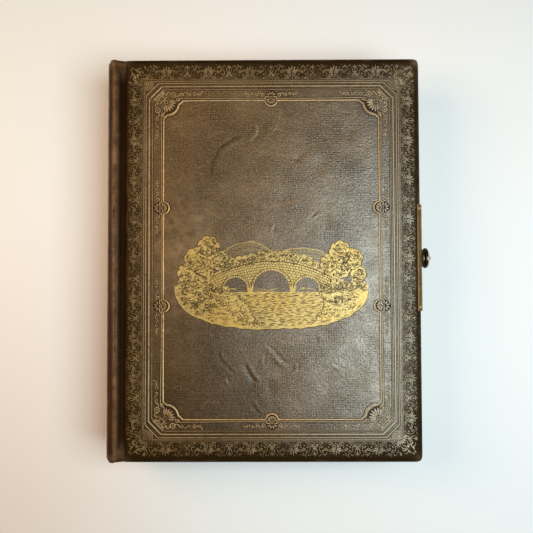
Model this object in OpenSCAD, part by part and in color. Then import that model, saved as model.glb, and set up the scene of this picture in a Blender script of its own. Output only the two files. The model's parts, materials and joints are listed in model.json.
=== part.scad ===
// Leather photograph album with window-mat leaves and a push-button clasp.
// Origin: centre of the back cover's underside. +X fore-edge, +Y head, +Z front cover.

/* [Covers] */
// Height of the boards, head to tail
cover_h = 290; // [200:1:360]
// Width over the spine and the boards
cover_w = 226; // [170:1:280]
// Thickness of one covered board
cover_t = 6.5; // [5:0.1:10]
// Thickness of the cover leather
leather_t = 1; // [0.6:0.1:1.5]
// Thickness of the pastedown sheet
paste_t = 0.5; // [0.3:0.1:0.8]
// Width of the leather turned in on the inside
turn_in = 9; // [5:0.5:20]
// Radius of the rolled board edges
edge_r = 4.5; // [2:0.1:4.9]
// Radius of the two fore-edge corners in plan
corner_r = 4.5; // [1:0.1:12]
// Radius of the rolled edge beside the spine
near_r = 4; // [1.5:0.1:4.9]
// Clearance between the board's near edge and the spine's round
joint_gap = 0.5; // [0.3:0.05:1.5]

/* [Tooling] */
// Depth of the tooled lines and of the gilt
tool_d = 0.3; // [0.1:0.05:0.6]
// Thickness of the gilt in its groove
gilt_t = 0.15; // [0.05:0.05:0.3]
// X of the middle of the cover's design
design_x = 5.9; // [0:0.1:12]
// Half width of the field inside the gilt line
field_hx = 77.3; // [60:0.1:90]
// Half height of the field inside the gilt line
field_hy = 114.1; // [90:0.1:130]
// Width of the gilt line
gilt_w = 0.9; // [0.4:0.1:2]
// Radius of the corner shells
shell_r = 8.7; // [5:0.1:14]
// Radius of the loops that the gilt line makes at the roundels
round_r = 4.3; // [3:0.1:6]
// Distance of the roundels' middles outside the gilt line
round_out = 0.2; // [0:0.1:2]
// Y of the upper roundels of the long sides
round_up = 36.6; // [20:0.1:60]
// Y of the lower roundels of the long sides
round_low = -33.7; // [-60:0.1:-20]
// Distance from the gilt line to the innermost blind rule
rule_out = 8; // [4:0.1:12]
// Step from one blind rule to the next
rule_step = 2.35; // [1.5:0.05:4]
// Width of each blind rule
rule_w = 0.8; // [0.4:0.1:2]
// Cut corner of the rules
rule_cut = 9; // [4:0.5:16]
// Depth of the sunk scroll band along the edges
band_d = 0.25; // [0.1:0.05:0.5]
// Distance from the gilt line to the scroll band
band_out = 15.2; // [12:0.1:18]
// Distance from the scroll band to the board's edges
band_edge = 3; // [1.5:0.1:6]
// Width of the gilt picture
picture_w = 138; // [90:1:150]
// Y of the picture's middle
picture_y = -13.4; // [-40:0.1:40]

/* [Leaves] */
// Number of leaves
leaf_n = 10; // [10:1:10]
// Height taken by each leaf
pitch = 4.3; // [3.8:0.05:5]
// Thickness of a leaf
leaf_t = 3.9; // [3.4:0.05:4.6]
// Thickness of each window mat
mat_t = 1.2; // [0.8:0.05:1.4]
// Thickness of the divider card
core_t = 0.5; // [0.3:0.05:0.8]
// Free height between the leaves and each cover
play = 0.3; // [0.2:0.05:1]
// Height of a leaf, head to tail
page_h = 280; // [190:1:350]
// Gap from the leaves' fore-edge to the boards' fore-edge
page_inset = 4.5; // [3:0.5:10]
// Distance of the leaves' axes from the covers' axis
hinge_in = 8; // [7:0.1:12]
// Length of the linen guard from its axis to the card
guard_l = 14; // [10:0.5:24]
// Thickness of the linen guard
guard_t = 0.5; // [0.3:0.05:0.7]
// Radius of the bead on the guard's axis
bead_r = 0.8; // [0.6:0.05:1.2]
// Width of a cabinet window
cab_w = 100; // [80:1:110]
// Height of a cabinet window
cab_h = 142; // [120:1:160]
// Width of a carte window
carte_w = 55; // [45:1:60]
// Height of a carte window
carte_h = 88; // [75:1:95]
// Y of the middle of a cabinet window
cab_y = 8; // [0:0.5:20]
// Y of the middle of the four carte windows
carte_y = 6; // [0:0.5:20]
// Half distance between the carte windows across the page
carte_dx = 42; // [35:0.5:50]
// Half distance between the carte windows along the page
carte_dy = 62; // [55:0.5:70]
// Width of the slot that a cabinet card slides in by
cab_slot = 112; // [106:0.5:120]
// Width of the slot that a carte slides in by
carte_slot = 66; // [63:0.5:75]
// Height of the slots
slot_h = 1.6; // [1:0.1:3]
// Distance of the slot below a cabinet window
cab_drop = 41; // [20:0.5:50]
// Distance of the slot below a carte window
carte_drop = 9; // [5:0.5:15]

/* [Clasp] */
// Middle of the clasp along the fore-edge
clasp_y = 0.4; // [-20:0.1:20]
// Length of the two clasp plates
plate_l = 76; // [50:0.5:110]
// Thickness of the clasp plates
plate_t = 1.2; // [0.8:0.1:2]
// Angle that the front plate is rolled over its board's edge
front_roll = 76; // [50:1:85]
// Angle that the back plate is rolled over its board's edge
back_roll = 48; // [40:1:50]
// Angle of the front rivets from the cover's face
front_rivet = 36; // [30:1:60]
// Angle of the back rivets from the cover's face
back_rivet = 64; // [55:1:75]
// Distance of the rivets from the middle
rivet_y = 35.2; // [20:0.1:50]
// Radius of the rivet heads
rivet_r = 1.2; // [0.8:0.1:2]
// Drop of the front plate's web below the cover
web_drop = 8; // [6:0.5:12]
// Half length of the front plate's web
web_half = 26; // [14:0.5:35]
// Room beside the knob's stem in the front plate's slot
slot_room = 0.6; // [0.3:0.05:1]
// Length of the catch spring
catch_l = 20; // [12:0.5:40]
// Thickness of the catch spring
catch_t = 0.6; // [0.3:0.05:0.7]
// Hold of the catch spring's jaws on the stem's head
catch_hold = 0.4; // [0.2:0.05:0.45]
// Thickness of the hasp
hasp_t = 1.2; // [1:0.1:2]
// Clearance between the hasp and the front plate's web
hasp_gap = 0.4; // [0.3:0.05:1]
// Width of the hasp at its hinge
hasp_w = 22; // [14:0.5:30]
// Radius of the hasp's round tip
tip_r = 6.2; // [4:0.1:9]
// Radius of the hinge pin
pin_r = 0.7; // [0.5:0.05:1.2]
// Radius of the hinge knuckles
knuckle_r = 1.6; // [1.3:0.1:2.5]
// Distance of the back plate's knuckles from the middle
knuckle_y = 9; // [8.9:0.1:14]
// Length of each of the back plate's knuckles
knuckle_l = 5; // [3:0.1:5]
// Half width of the hasp's own knuckle
root_half = 6.3; // [4:0.1:6.4]
// Radius of the knob's dark skirt
knob_r = 7.35; // [5:0.05:9]
// Radius of the knob's stem
stem_r = 2.5; // [2:0.05:3.5]
// Travel of the knob when pressed
press = 0.9; // [0.5:0.05:1]
// Height of the hinge pin above the back cover's inside
pin_up = 3; // [2:0.1:5]
// Depth of the knob's axis below the front cover's outside
knob_down = 9.5; // [8:0.1:12]
// Running clearance in radius
fit = 0.05; // [0.02:0.01:0.1]

/* [Hidden] */
$fn = 96;
x_sp = -cover_w / 2;
x_fe = cover_w / 2;
half_h = cover_h / 2;
// hinge axis of a cover: middle of the spine's round, level with the cover's inside
x_a = x_sp + cover_t;
x_b = x_a + cover_t + joint_gap;
z_in = cover_t + leaf_n * pitch + 2 * play;
z_top = z_in + cover_t;
// hinge axes of the leaves and the edges of their cards
x_h = x_a + hinge_in;
// room above and below the guards for the leather of the joints
joint_room = leather_t + 0.2;
x_card = x_h + guard_l;
x_page = x_fe - page_inset;
card_w = x_page - x_card;
gap_t = (leaf_t - 2 * mat_t - core_t) / 2;
// clasp stations along X and Z
x_web = x_fe + plate_t;
x_hasp = x_web + hasp_gap;
x_out = x_hasp + hasp_t;
x_knob = x_out + press + 0.1;
x_pin = x_hasp + hasp_t / 2 - 0.1;
z_pin = cover_t + pin_up;
z_knob = z_top - knob_down;
z_web = z_in - web_drop;

function leaf_z(i) = cover_t + play + pitch * (leaf_n - i) + pitch / 2;
function leaf_name(i, s) = str("leaf_", i < 10 ? "0" : "", i, "_", s);

// Board outline in plan: square at the joint, round at the fore-edge corners.
module board_plan(in) {
    w = x_fe - x_b - 2 * in;
    h = cover_h - 2 * in;
    r = max(corner_r - in, 0.5);
    translate([x_b + in, -h / 2]) square([w - r, h]);
    translate([x_b + in, -h / 2 + r]) square([w, h - 2 * r]);
    for (s = [-1, 1]) translate([x_b + in + w - r, s * (h / 2 - r)]) circle(r);
}

// Side view of a cover: flat inside at 0, rolled upper edges. Runs from a to b.
module edge_profile(a, b, t, ra, rb) {
    translate([a, 0]) square([b - a, t - max(ra, rb)]);
    translate([a + ra, 0]) square([b - a - ra - rb, t]);
    translate([a, 0]) square([(b - a) / 2, t - ra]);
    translate([(a + b) / 2, 0]) square([(b - a) / 2, t - rb]);
    translate([a + ra, t - ra]) circle(ra);
    translate([b - rb, t - rb]) circle(rb);
}

// Whole covered board, inside face at z = 0, outside at z = cover_t.
module cover_slab() {
    intersection() {
        linear_extrude(cover_t) board_plan(0);
        translate([0, half_h + 1, 0]) rotate([90, 0, 0]) linear_extrude(cover_h + 2)
            edge_profile(x_b, x_fe, cover_t, near_r, edge_r);
        translate([x_b - 1, 0, 0]) rotate([90, 0, 90]) linear_extrude(cover_w)
            edge_profile(-half_h, half_h, cover_t, edge_r, edge_r);
    }
}

module board_core() {
    translate([0, 0, paste_t]) linear_extrude(cover_t - paste_t - leather_t - 0.5)
        board_plan(leather_t + 0.4);
    translate([0, 0, paste_t]) linear_extrude(cover_t - paste_t - leather_t)
        board_plan(edge_r - 0.6);
}

module paste_sheet() {
    linear_extrude(paste_t) board_plan(turn_in);
}

// Field with shells and roundels bitten out; d moves the outline inwards.
module field(d) {
    difference() {
        translate([design_x - field_hx + d, -field_hy + d])
            square([2 * (field_hx - d), 2 * (field_hy - d)]);
        for (a = [-1, 1]) {
            for (b = [-1, 1]) {
                translate([design_x + a * (field_hx - 1.5), b * (field_hy - 0.9)])
                    circle(shell_r + d);
            }
            for (y = [round_low, round_up])
                translate([design_x + a * (field_hx + round_out), y]) circle(round_r + d);
            translate([design_x, a * (field_hy + round_out)]) circle(round_r + d);
        }
    }
}

// Open fan of n petals between angles a0 and a1.
module fan(r, n, a0, a1) {
    step = (a1 - a0) / n;
    polygon(concat([[0, 0]], [for (k = [0:n - 1]) for (j = [0.06, 0.3, 0.5, 0.7, 0.94])
        let (q = r * (j == 0.5 ? 1 : (j > 0.2 && j < 0.8 ? 0.96 : 0.78)))
        [q * cos(a0 + step * (k + j)), q * sin(a0 + step * (k + j))]]));
}

module gilt_plan() {
    difference() {
        field(0);
        field(gilt_w);
    }
    for (a = [-1, 1]) {
        for (b = [-1, 1]) {
            m = a < 0 ? (b > 0 ? -90 : 0) : (b > 0 ? 180 : 90);
            translate([design_x + a * (field_hx - 1.2), b * (field_hy - 0.7)])
                fan(shell_r - 1.3, 7, m, m + 90);
        }
        for (y = [round_low, round_up])
            translate([design_x + a * (field_hx + round_out), y]) rotate(-90 * a) roundel();
        translate([design_x, a * (field_hy + round_out)]) rotate(a > 0 ? 0 : 180) roundel();
    }
}

// Fan inside the gilt line's loop and a smaller flower outside it, towards +Y.
module roundel() {
    fan(round_r - 0.5, 7, 190, 350);
    translate([0, round_r * 0.8]) fan(round_r - 0.8, 7, -20, 200);
}

// Rectangle with cut corners.
module cut_rect(hx, hy, c) {
    translate([design_x, 0]) polygon([[-hx + c, -hy], [hx - c, -hy], [hx, -hy + c],
        [hx, hy - c], [hx - c, hy], [-hx + c, hy], [-hx, hy - c], [-hx, -hy + c]]);
}

module rules_plan() {
    for (k = [0:2]) {
        out = rule_out + k * rule_step;
        w = k == 0 ? rule_w * 0.6 : rule_w;
        difference() {
            cut_rect(field_hx + out + w / 2, field_hy + out + w / 2, rule_cut);
            cut_rect(field_hx + out - w / 2, field_hy + out - w / 2, rule_cut);
        }
    }
}

module band_plan() {
    hx = field_hx + band_out;
    hy = field_hy + band_out;
    difference() {
        board_plan(band_edge);
        translate([design_x - hx, -hy]) square([2 * hx, 2 * hy]);
    }
}

// Curves of the picture, which is drawn 138 wide about its own middle.
draw_w = 138;
water_y = -12;
function deck(x) = 13 - 0.0062 * x * x;
function bank_low(x) = -9 - 27.5 * sqrt(max(0, 1 - pow(abs(x) / 69, 2.6)));
function bank_top(x) = -9.5 + 4 * max(0, min(1, (abs(x) - 38) / 22));
function river_left(t) = -30 + 26 * t + 3 * sin(286 * t);
function river_right(t) = 33 - 2 * t + 5 * sin(229 * t);
function river_y(t) = -10 - 26 * t;

// Opening of a bridge: upright legs under a half circle.
module arch(w, leg) {
    translate([-w / 2, -1]) square([w, leg + 1]);
    translate([0, leg]) circle(w / 2);
}

module bridge_plan() {
    difference() {
        polygon(concat([for (x = [-44:4:44]) [x, deck(x)]], [[44, water_y], [-44, water_y]]));
        translate([0, water_y]) arch(26, 4);
        for (s = [-1, 1]) translate([s * 25.5, water_y]) arch(17.2, 3.4);
        polygon(concat([for (x = [-40:4:40]) [x, deck(x) - 2.1]],
            [for (x = [40:-4:-40]) [x, deck(x) - 2.7]]));
    }
}

module bank_left() {
    polygon(concat([for (x = [-69:3:-30]) [x, bank_top(x)]],
        [for (t = [0.1:0.1:0.9]) [river_left(t), river_y(t)]],
        [for (x = [-6:-4.5:-69]) [x, bank_low(x)]]));
}

module bank_right() {
    polygon(concat([for (x = [69:-3:33]) [x, bank_top(x)]],
        [for (t = [0.1:0.1:0.9]) [river_right(t), river_y(t)]],
        [for (x = [33:4.5:69]) [x, bank_low(x)]]));
}

module tree(x, y, r) {
    translate([x, y]) {
        circle(r * 0.6);
        for (k = [0:4]) translate(r * 0.6 * [cos(72 * k + 18), sin(72 * k + 18)]) circle(r * 0.45);
    }
    translate([x - 0.8, -9]) square([1.6, y + 9]);
}

module hill(x, r, w) {
    intersection() {
        difference() {
            translate([x, 25 - r]) circle(r);
            translate([x, 24.2 - r]) circle(r);
        }
        translate([x - w, deck(0) - 1]) square([2 * w, 20]);
    }
}

// River scene: an arched bridge between wooded banks, with hills behind.
module picture_plan() {
    translate([design_x, picture_y]) scale(picture_w / draw_w) {
        bridge_plan();
        bank_left();
        bank_right();
        for (k = [1:7]) {
            t = 0.11 * k;
            mid = (river_left(t) + river_right(t)) / 2 + 6 * sin(110 * k);
            translate([river_left(t) + 2, river_y(t) - 1.6]) square([mid - river_left(t) - 4, 0.8]);
            translate([mid + 1, river_y(t) - 1.6]) square([river_right(t) - mid - 4, 0.8]);
        }
        for (t = [[-60, 3, 7], [-54, 13, 8], [-45, 21, 8], [-37, 12, 6.5], [-48, 4, 7], [41, 10, 6],
                [49, 18, 7.5], [58, 13, 7], [50, 6, 6.5], [62, 2, 5.5]])
            tree(t[0], t[1], t[2]);
        hill(-17, 44, 26);
        hill(21, 38, 24);
    }
}

module front_board() {
    color("tan") translate([0, 0, z_in]) board_core();
}

module front_leather() {
    color("saddlebrown") difference() {
        translate([0, 0, z_in]) cover_slab();
        translate([0, 0, z_in]) board_core();
        translate([0, 0, z_in]) paste_sheet();
        translate([0, 0, z_top - tool_d]) linear_extrude(1) gilt_plan();
        translate([0, 0, z_top - tool_d]) linear_extrude(1) picture_plan();
        translate([0, 0, z_top - tool_d]) linear_extrude(1) rules_plan();
        translate([0, 0, z_top - band_d]) linear_extrude(1) band_plan();
        for (s = [-1, 1]) rivet_hole(s, z_in, 1);
    }
}

module front_pastedown() {
    color("ivory") translate([0, 0, z_in]) paste_sheet();
}

module front_gilt() {
    color("gold") translate([0, 0, z_top - tool_d]) linear_extrude(gilt_t) gilt_plan();
}

module front_picture() {
    color("gold") translate([0, 0, z_top - tool_d]) linear_extrude(gilt_t) picture_plan();
}

module back_board() {
    color("tan") translate([0, 0, cover_t]) mirror([0, 0, 1]) board_core();
}

module back_leather() {
    color("saddlebrown") difference() {
        translate([0, 0, cover_t]) mirror([0, 0, 1]) cover_slab();
        translate([0, 0, cover_t]) mirror([0, 0, 1]) board_core();
        translate([0, 0, cover_t]) mirror([0, 0, 1]) paste_sheet();
        translate([0, 0, tool_d - 1]) linear_extrude(1) rules_plan();
        translate([0, 0, band_d - 1]) linear_extrude(1) band_plan();
        for (s = [-1, 1]) rivet_hole(s, cover_t, -1);
    }
}

module back_pastedown() {
    color("ivory") translate([0, 0, cover_t]) mirror([0, 0, 1]) paste_sheet();
}

// Upright stadium around both cover axes, left half only.
module spine_plan(r) {
    intersection() {
        union() {
            for (z = [cover_t, z_in]) translate([x_a, z]) circle(r);
            translate([x_a - r, cover_t]) square([r, z_in - cover_t]);
        }
        translate([x_sp - 1, -1]) square([cover_t + 1, z_top + 2]);
    }
}

module along_y(l) {
    translate([0, l / 2, 0]) rotate([90, 0, 0]) linear_extrude(l) children();
}

module spine_leather() {
    color("saddlebrown") along_y(cover_h) difference() {
        spine_plan(cover_t);
        spine_plan(cover_t - leather_t);
    }
}

module spine_liner() {
    color("burlywood") along_y(cover_h - 4) difference() {
        spine_plan(cover_t - leather_t);
        spine_plan(cover_t - leather_t - 1.2);
    }
}

// Leather lining of a joint groove: wall against the spine's round, then the floor.
module joint_plan() {
    difference() {
        intersection() {
            circle(cover_t);
            square([cover_t + 1, cover_t + 1]);
        }
        translate([leather_t + 1.4, leather_t + 1.4]) circle(1.4);
        translate([leather_t + 1.4, leather_t]) square([cover_t, cover_t]);
        translate([leather_t, leather_t + 1.4]) square([cover_t, cover_t]);
    }
}

module front_joint() {
    color("sienna") translate([x_a, 0, z_in]) along_y(cover_h - 3) joint_plan();
}

module back_joint() {
    color("sienna") translate([x_a, 0, cover_t]) mirror([0, 0, 1]) along_y(cover_h - 3) joint_plan();
}

module guard_block() {
    x0 = x_sp + leather_t + 1.2;
    color("linen") along_y(page_h) difference() {
        translate([x0, cover_t]) square([x_h - 0.35 - x0, z_in - cover_t]);
        for (i = [1:leaf_n]) translate([x_h, leaf_z(i)]) circle(bead_r + fit);
        for (z = [cover_t, z_in]) translate([x_a - 0.2, z - joint_room])
            square([x_h - x_a, 2 * joint_room]);
    }
}

module window(w, h) {
    translate([-w / 2, -h / 2]) square([w, h - w / 2]);
    translate([0, h / 2 - w / 2]) circle(w / 2);
}

// One mat in plan: odd leaves hold one cabinet card, even leaves four cartes.
module mat_plan(i) {
    xm = (x_card + x_page) / 2;
    difference() {
        translate([x_card, -page_h / 2]) square([card_w, page_h]);
        if (i % 2 == 1) {
            translate([xm, cab_y]) window(cab_w, cab_h);
            translate([xm - cab_slot / 2, cab_y - cab_h / 2 - cab_drop]) square([cab_slot, slot_h]);
        } else {
            for (a = [-1, 1]) for (b = [-1, 1]) {
                translate([xm + a * carte_dx, carte_y + b * carte_dy]) window(carte_w, carte_h);
                translate([xm + a * carte_dx - carte_slot / 2,
                    carte_y + b * carte_dy - carte_h / 2 - carte_drop]) square([carte_slot, slot_h]);
            }
        }
    }
}

module leaf_mats(i) {
    z = leaf_z(i);
    color("antiquewhite") {
        translate([0, 0, z + leaf_t / 2 - mat_t]) linear_extrude(mat_t) mat_plan(i);
        translate([0, 0, z - leaf_t / 2]) linear_extrude(mat_t) mat_plan(i);
    }
}

// Divider card with raised spacers on both faces, and the seat of the linen guard.
module leaf_core(i) {
    z = leaf_z(i);
    t = core_t + 2 * gap_t;
    color("wheat") difference() {
        translate([x_card, -page_h / 2, z - t / 2]) cube([card_w, page_h, t]);
        for (s = [0, 1]) translate([x_card + 12, -page_h / 2 + 12, s == 0 ? z + core_t / 2 : z - t])
            cube([card_w - 24, page_h - 24, t - core_t / 2]);
        translate([x_card - 1, -page_h / 2 - 1, z - guard_t / 2]) cube([9, page_h + 2, guard_t]);
    }
}

module leaf_guard(i) {
    z = leaf_z(i);
    color("maroon") {
        translate([x_h, 0, z]) rotate([90, 0, 0]) translate([0, 0, -page_h / 2])
            cylinder(r = bead_r, h = page_h);
        translate([x_h, -page_h / 2, z - guard_t / 2]) cube([guard_l + 8, page_h, guard_t]);
    }
}

// Rolled shell over the board's fore-edge; inside face of the cover at z = 0.
module plate_plan(web, turn) {
    cx = x_fe - edge_r;
    cz = cover_t - edge_r;
    intersection() {
        difference() {
            translate([cx, cz]) circle(edge_r + plate_t);
            translate([cx, cz]) circle(edge_r);
        }
        polygon([[cx, cz], [cx + 20, cz], [cx + 20, cz + 20], [cx + 20 / tan(turn), cz + 20]]);
    }
    translate([x_fe, -web]) square([plate_t, cz + web]);
}

// Frame of a rivet: across the middle of the rolled plate, z away from the board.
module at_rivet(s, z, m) {
    translate([x_fe - edge_r, clasp_y + s * rivet_y, z + m * (cover_t - edge_r)])
        rotate([0, m > 0 ? front_rivet : 180 - back_rivet, 0]) children();
}

module rivet_hole(s, z, m) {
    at_rivet(s, z, m) {
        translate([0, 0, edge_r - 0.5]) cylinder(r = 0.6, h = 3);
        translate([0, 0, edge_r + plate_t - 0.2]) cylinder(r = rivet_r, h = 2);
    }
}

module rivet(s, z, m) {
    at_rivet(s, z, m) {
        translate([0, 0, edge_r - 0.5]) cylinder(r = 0.6, h = plate_t + 0.5);
        translate([0, 0, edge_r + plate_t - 0.2]) cylinder(r1 = rivet_r, r2 = rivet_r * 0.6, h = 0.7);
    }
}

module front_clasp_plate() {
    slot_r = stem_r + slot_room;
    cut = plate_l / 2 - web_half + 2;
    color("goldenrod") difference() {
        translate([0, clasp_y, z_in]) along_y(plate_l) plate_plan(web_drop, front_roll);
        translate([x_fe - 1, clasp_y - slot_r, z_web - 1]) cube([plate_t + 2, 2 * slot_r, z_knob - z_web + 1]);
        translate([x_fe - 1, clasp_y, z_knob]) rotate([0, 90, 0]) cylinder(r = slot_r, h = plate_t + 2);
        for (s = [-1, 1]) translate([x_fe - 1, clasp_y + s * web_half - (s < 0 ? cut : 0), z_web - 1])
            cube([plate_t + 2, cut, web_drop + 0.4]);
        for (s = [-1, 1]) rivet_hole(s, z_in, 1);
    }
}

module front_clasp_rivets() {
    color("gold") for (s = [-1, 1]) rivet(s, z_in, 1);
}

module catch_spring() {
    jaw_r = stem_r - catch_hold;
    color("silver") difference() {
        translate([x_fe - catch_t, clasp_y - catch_l / 2, z_web + 0.4]) cube([catch_t, catch_l, web_drop - 0.8]);
        translate([x_fe - 1, clasp_y - jaw_r, z_web - 1]) cube([2, 2 * jaw_r, z_knob - z_web + 1]);
        translate([x_fe - 1, clasp_y, z_knob]) rotate([0, 90, 0]) cylinder(r = jaw_r, h = 2);
    }
}

module knuckle(y, l, r) {
    translate([x_pin, y + l / 2, z_pin]) rotate([90, 0, 0]) cylinder(r = r, h = l);
}

module back_clasp_plate() {
    color("goldenrod") difference() {
        union() {
            translate([0, clasp_y, cover_t]) mirror([0, 0, 1]) along_y(plate_l) plate_plan(0.2, back_roll);
            for (s = [-1, 1]) {
                knuckle(clasp_y + s * knuckle_y, knuckle_l, knuckle_r);
                translate([x_fe, clasp_y + s * knuckle_y - knuckle_l / 2, cover_t - 2])
                    cube([plate_t, knuckle_l, z_pin - cover_t + 2]);
            }
        }
        for (s = [-1, 1]) knuckle(clasp_y + s * knuckle_y, knuckle_l + 1, pin_r);
        for (s = [-1, 1]) rivet_hole(s, cover_t, -1);
    }
}

module back_clasp_rivets() {
    color("gold") for (s = [-1, 1]) rivet(s, cover_t, -1);
}

module hinge_pin() {
    color("goldenrod") knuckle(clasp_y, 2 * knuckle_y + knuckle_l + 0.6, pin_r);
}

// Hasp in its own plane: v runs up from the pin, u along the fore-edge.
module hasp_plan() {
    v1 = z_knob - z_pin;
    difference() {
        union() {
            polygon([[-root_half, 0], [root_half, 0], [root_half, 4.2], [hasp_w / 2, 6.5], [hasp_w / 2, 11],
                [tip_r + 0.6, 20], [tip_r, v1], [-tip_r, v1], [-tip_r - 0.6, 20],
                [-hasp_w / 2, 11], [-hasp_w / 2, 6.5], [-root_half, 4.2]]);
            translate([0, v1]) circle(tip_r);
        }
        translate([0, v1]) circle(stem_r + fit);
        for (s = [-1, 1]) translate([s * 6.3, 10]) circle(2);
        translate([0, 15.5]) circle(2.6);
    }
}

module hasp() {
    color("goldenrod") difference() {
        union() {
            translate([x_hasp, clasp_y, z_pin]) rotate([90, 0, 90]) linear_extrude(hasp_t) hasp_plan();
            knuckle(clasp_y, 2 * root_half, knuckle_r);
        }
        knuckle(clasp_y, 30, pin_r + fit);
    }
}

// Solid of revolution about the knob's axis, profile as [radius, distance from the hasp].
module about_knob() {
    translate([x_knob, clasp_y, z_knob]) rotate([0, 90, 0]) rotate_extrude() children();
}

module knob_skirt() {
    // the neck lies level with the catch spring, behind the board's fore-edge
    n = x_fe - x_knob;
    color("black") about_knob() difference() {
        polygon([[0, n - 1.9], [stem_r - 0.4, n - 1.9], [stem_r, n - 1.5], [stem_r, n - 0.8],
            [stem_r - 0.5, n - 0.8], [stem_r - 0.5, n + 0.15], [stem_r, n + 0.15], [stem_r, 0],
            [knob_r - 0.5, 0], [knob_r, 0.5], [knob_r, 1.8], [knob_r - 0.8, 2.6], [0, 2.6]]);
        translate([stem_r, -0.01]) square([3, 0.5]);
    }
}

module knob_cap() {
    color("gold") about_knob() intersection() {
        union() {
            translate([0, -9.6]) circle(13.6);
            translate([0, 3.5]) circle(1.8);
        }
        translate([0, 2.6]) square([6.4, 3]);
    }
}

module button_spring() {
    color("silver") about_knob()
        polygon([[stem_r + 0.2, 0.49], [stem_r + 0.5, 0.49], [stem_r + 2.8, -0.7],
            [stem_r + 2.8, -1], [stem_r + 2.5, -1], [stem_r + 0.2, 0.19]]);
}

back_board();
back_leather();
back_pastedown();
spine_leather();
spine_liner();
front_joint();
back_joint();
guard_block();
back_clasp_plate();
back_clasp_rivets();
hinge_pin();
front_board();
front_leather();
front_pastedown();
front_gilt();
front_picture();
front_clasp_plate();
front_clasp_rivets();
catch_spring();
hasp();
knob_skirt();
knob_cap();
button_spring();
for (i = [1:leaf_n]) {
    leaf_mats(i);
    leaf_core(i);
    leaf_guard(i);
}
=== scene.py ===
"""Leather photograph album: meshes, finishes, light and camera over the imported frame.

Sizes in the classes are millimetres in the frame's own axes; meshes are written in metres.
"""
from __future__ import annotations

import json
import logging
import math
import random
from dataclasses import dataclass, field, replace
from enum import Enum
from functools import cached_property, partial, reduce
from typing import Callable, Sequence

import bmesh
import bpy
import numpy as np
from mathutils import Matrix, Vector, noise

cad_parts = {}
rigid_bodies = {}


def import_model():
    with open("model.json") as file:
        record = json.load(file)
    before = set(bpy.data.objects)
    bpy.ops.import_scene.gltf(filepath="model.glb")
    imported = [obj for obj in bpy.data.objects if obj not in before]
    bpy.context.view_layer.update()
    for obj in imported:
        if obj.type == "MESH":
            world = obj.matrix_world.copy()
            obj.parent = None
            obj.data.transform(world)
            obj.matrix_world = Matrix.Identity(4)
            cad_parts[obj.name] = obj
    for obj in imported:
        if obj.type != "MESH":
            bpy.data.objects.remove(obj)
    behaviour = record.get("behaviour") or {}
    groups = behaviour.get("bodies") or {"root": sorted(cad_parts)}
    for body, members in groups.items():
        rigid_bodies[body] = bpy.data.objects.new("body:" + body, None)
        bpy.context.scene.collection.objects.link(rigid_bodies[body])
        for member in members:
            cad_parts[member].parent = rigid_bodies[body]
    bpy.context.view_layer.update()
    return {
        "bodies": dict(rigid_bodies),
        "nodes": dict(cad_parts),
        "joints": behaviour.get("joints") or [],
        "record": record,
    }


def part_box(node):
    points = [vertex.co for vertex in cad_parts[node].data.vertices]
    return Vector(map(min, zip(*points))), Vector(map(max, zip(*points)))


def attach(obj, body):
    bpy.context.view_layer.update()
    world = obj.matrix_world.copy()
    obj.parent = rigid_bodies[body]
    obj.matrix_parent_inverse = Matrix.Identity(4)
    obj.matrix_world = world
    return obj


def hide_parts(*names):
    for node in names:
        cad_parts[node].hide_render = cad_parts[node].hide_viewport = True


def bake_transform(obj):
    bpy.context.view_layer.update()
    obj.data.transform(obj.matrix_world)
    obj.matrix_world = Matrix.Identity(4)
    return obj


MM = 0.001
LOG = logging.getLogger("album")

Point = tuple[float, float]
Spot = tuple[float, float, float]
Colour = Spot
Face = tuple[int, ...]
Run = Sequence[Point]
Place = Callable[[float, float], Point]
Surface = Callable[[float, float], float]
Socket = bpy.types.NodeSocket
Material = bpy.types.Material
Piece = bpy.types.Object


class Side(Enum):
    """Which cover a piece belongs to."""

    FRONT = "front"
    BACK = "back"


class Strip(Enum):
    """Section of a stroke: each point's place across, share of the rise, sinking and rubbing; the crest's
    full rubbing is partly a painted highlight.
    """

    RIDGE = ((1, 0, 0.03, 0.15), (0.4, 1, 0, 1), (-0.4, 1, 0, 1), (-1, 0, 0.03, 0.15))
    FLAT = ((1, 1, 0, 0.15), (-1, 1, 0, 0.15))


def smooth(a: float, b: float, v: float) -> float:
    """Ease v from 0 at a to 1 at b."""
    t = min(1.0, max(0.0, (v - a) / (b - a)))
    return t * t * (3 - 2 * t)


def ripple(x: float, y: float, size: float, seed: float = 0.0) -> float:
    """Smooth random value from -1 to 1 that changes over about size mm."""
    return noise.noise(Vector((x / size + seed, y / size - seed, seed * 1.7)))


def plain(x: float, y: float) -> Point:
    """Leave a point where it is."""
    return (x, y)


def polar(x: float, y: float, r: float, angle: float) -> Point:
    """Point at a distance and an angle in degrees from another point."""
    a = math.radians(angle)
    return (x + r * math.cos(a), y + r * math.sin(a))


def arc(cx: float, cy: float, r: float, a0: float, a1: float, n: int = 10,
        r1: float | None = None) -> list[Point]:
    """Points of an arc in n steps between two angles in degrees, or of a spiral that ends at radius r1."""
    end = r if r1 is None else r1
    return [polar(cx, cy, r + (end - r) * k / n, a0 + (a1 - a0) * k / n) for k in range(n + 1)]


def line(*corners: Point, step: float = 6.0) -> list[Point]:
    """Straight runs through corners, cut into steps.

    Args:
        corners: Corner points in order.
        step: Longest step in mm.

    Returns:
        The points in order.
    """
    out: list[Point] = [corners[0]]
    for (ax, ay), (bx, by) in zip(corners, corners[1:]):
        n = max(1, math.ceil(math.dist((ax, ay), (bx, by)) / step))
        out += [(ax + (bx - ax) * k / n, ay + (by - ay) * k / n) for k in range(1, n + 1)]
    return out


def grid_faces(nx: int, ny: int) -> list[Face]:
    """Faces of a grid of ny rows of nx points, numbered row by row."""
    starts = [j * nx + i for j in range(ny - 1) for i in range(nx - 1)]
    return [(a, a + 1, a + nx + 1, a + nx) for a in starts]


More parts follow.
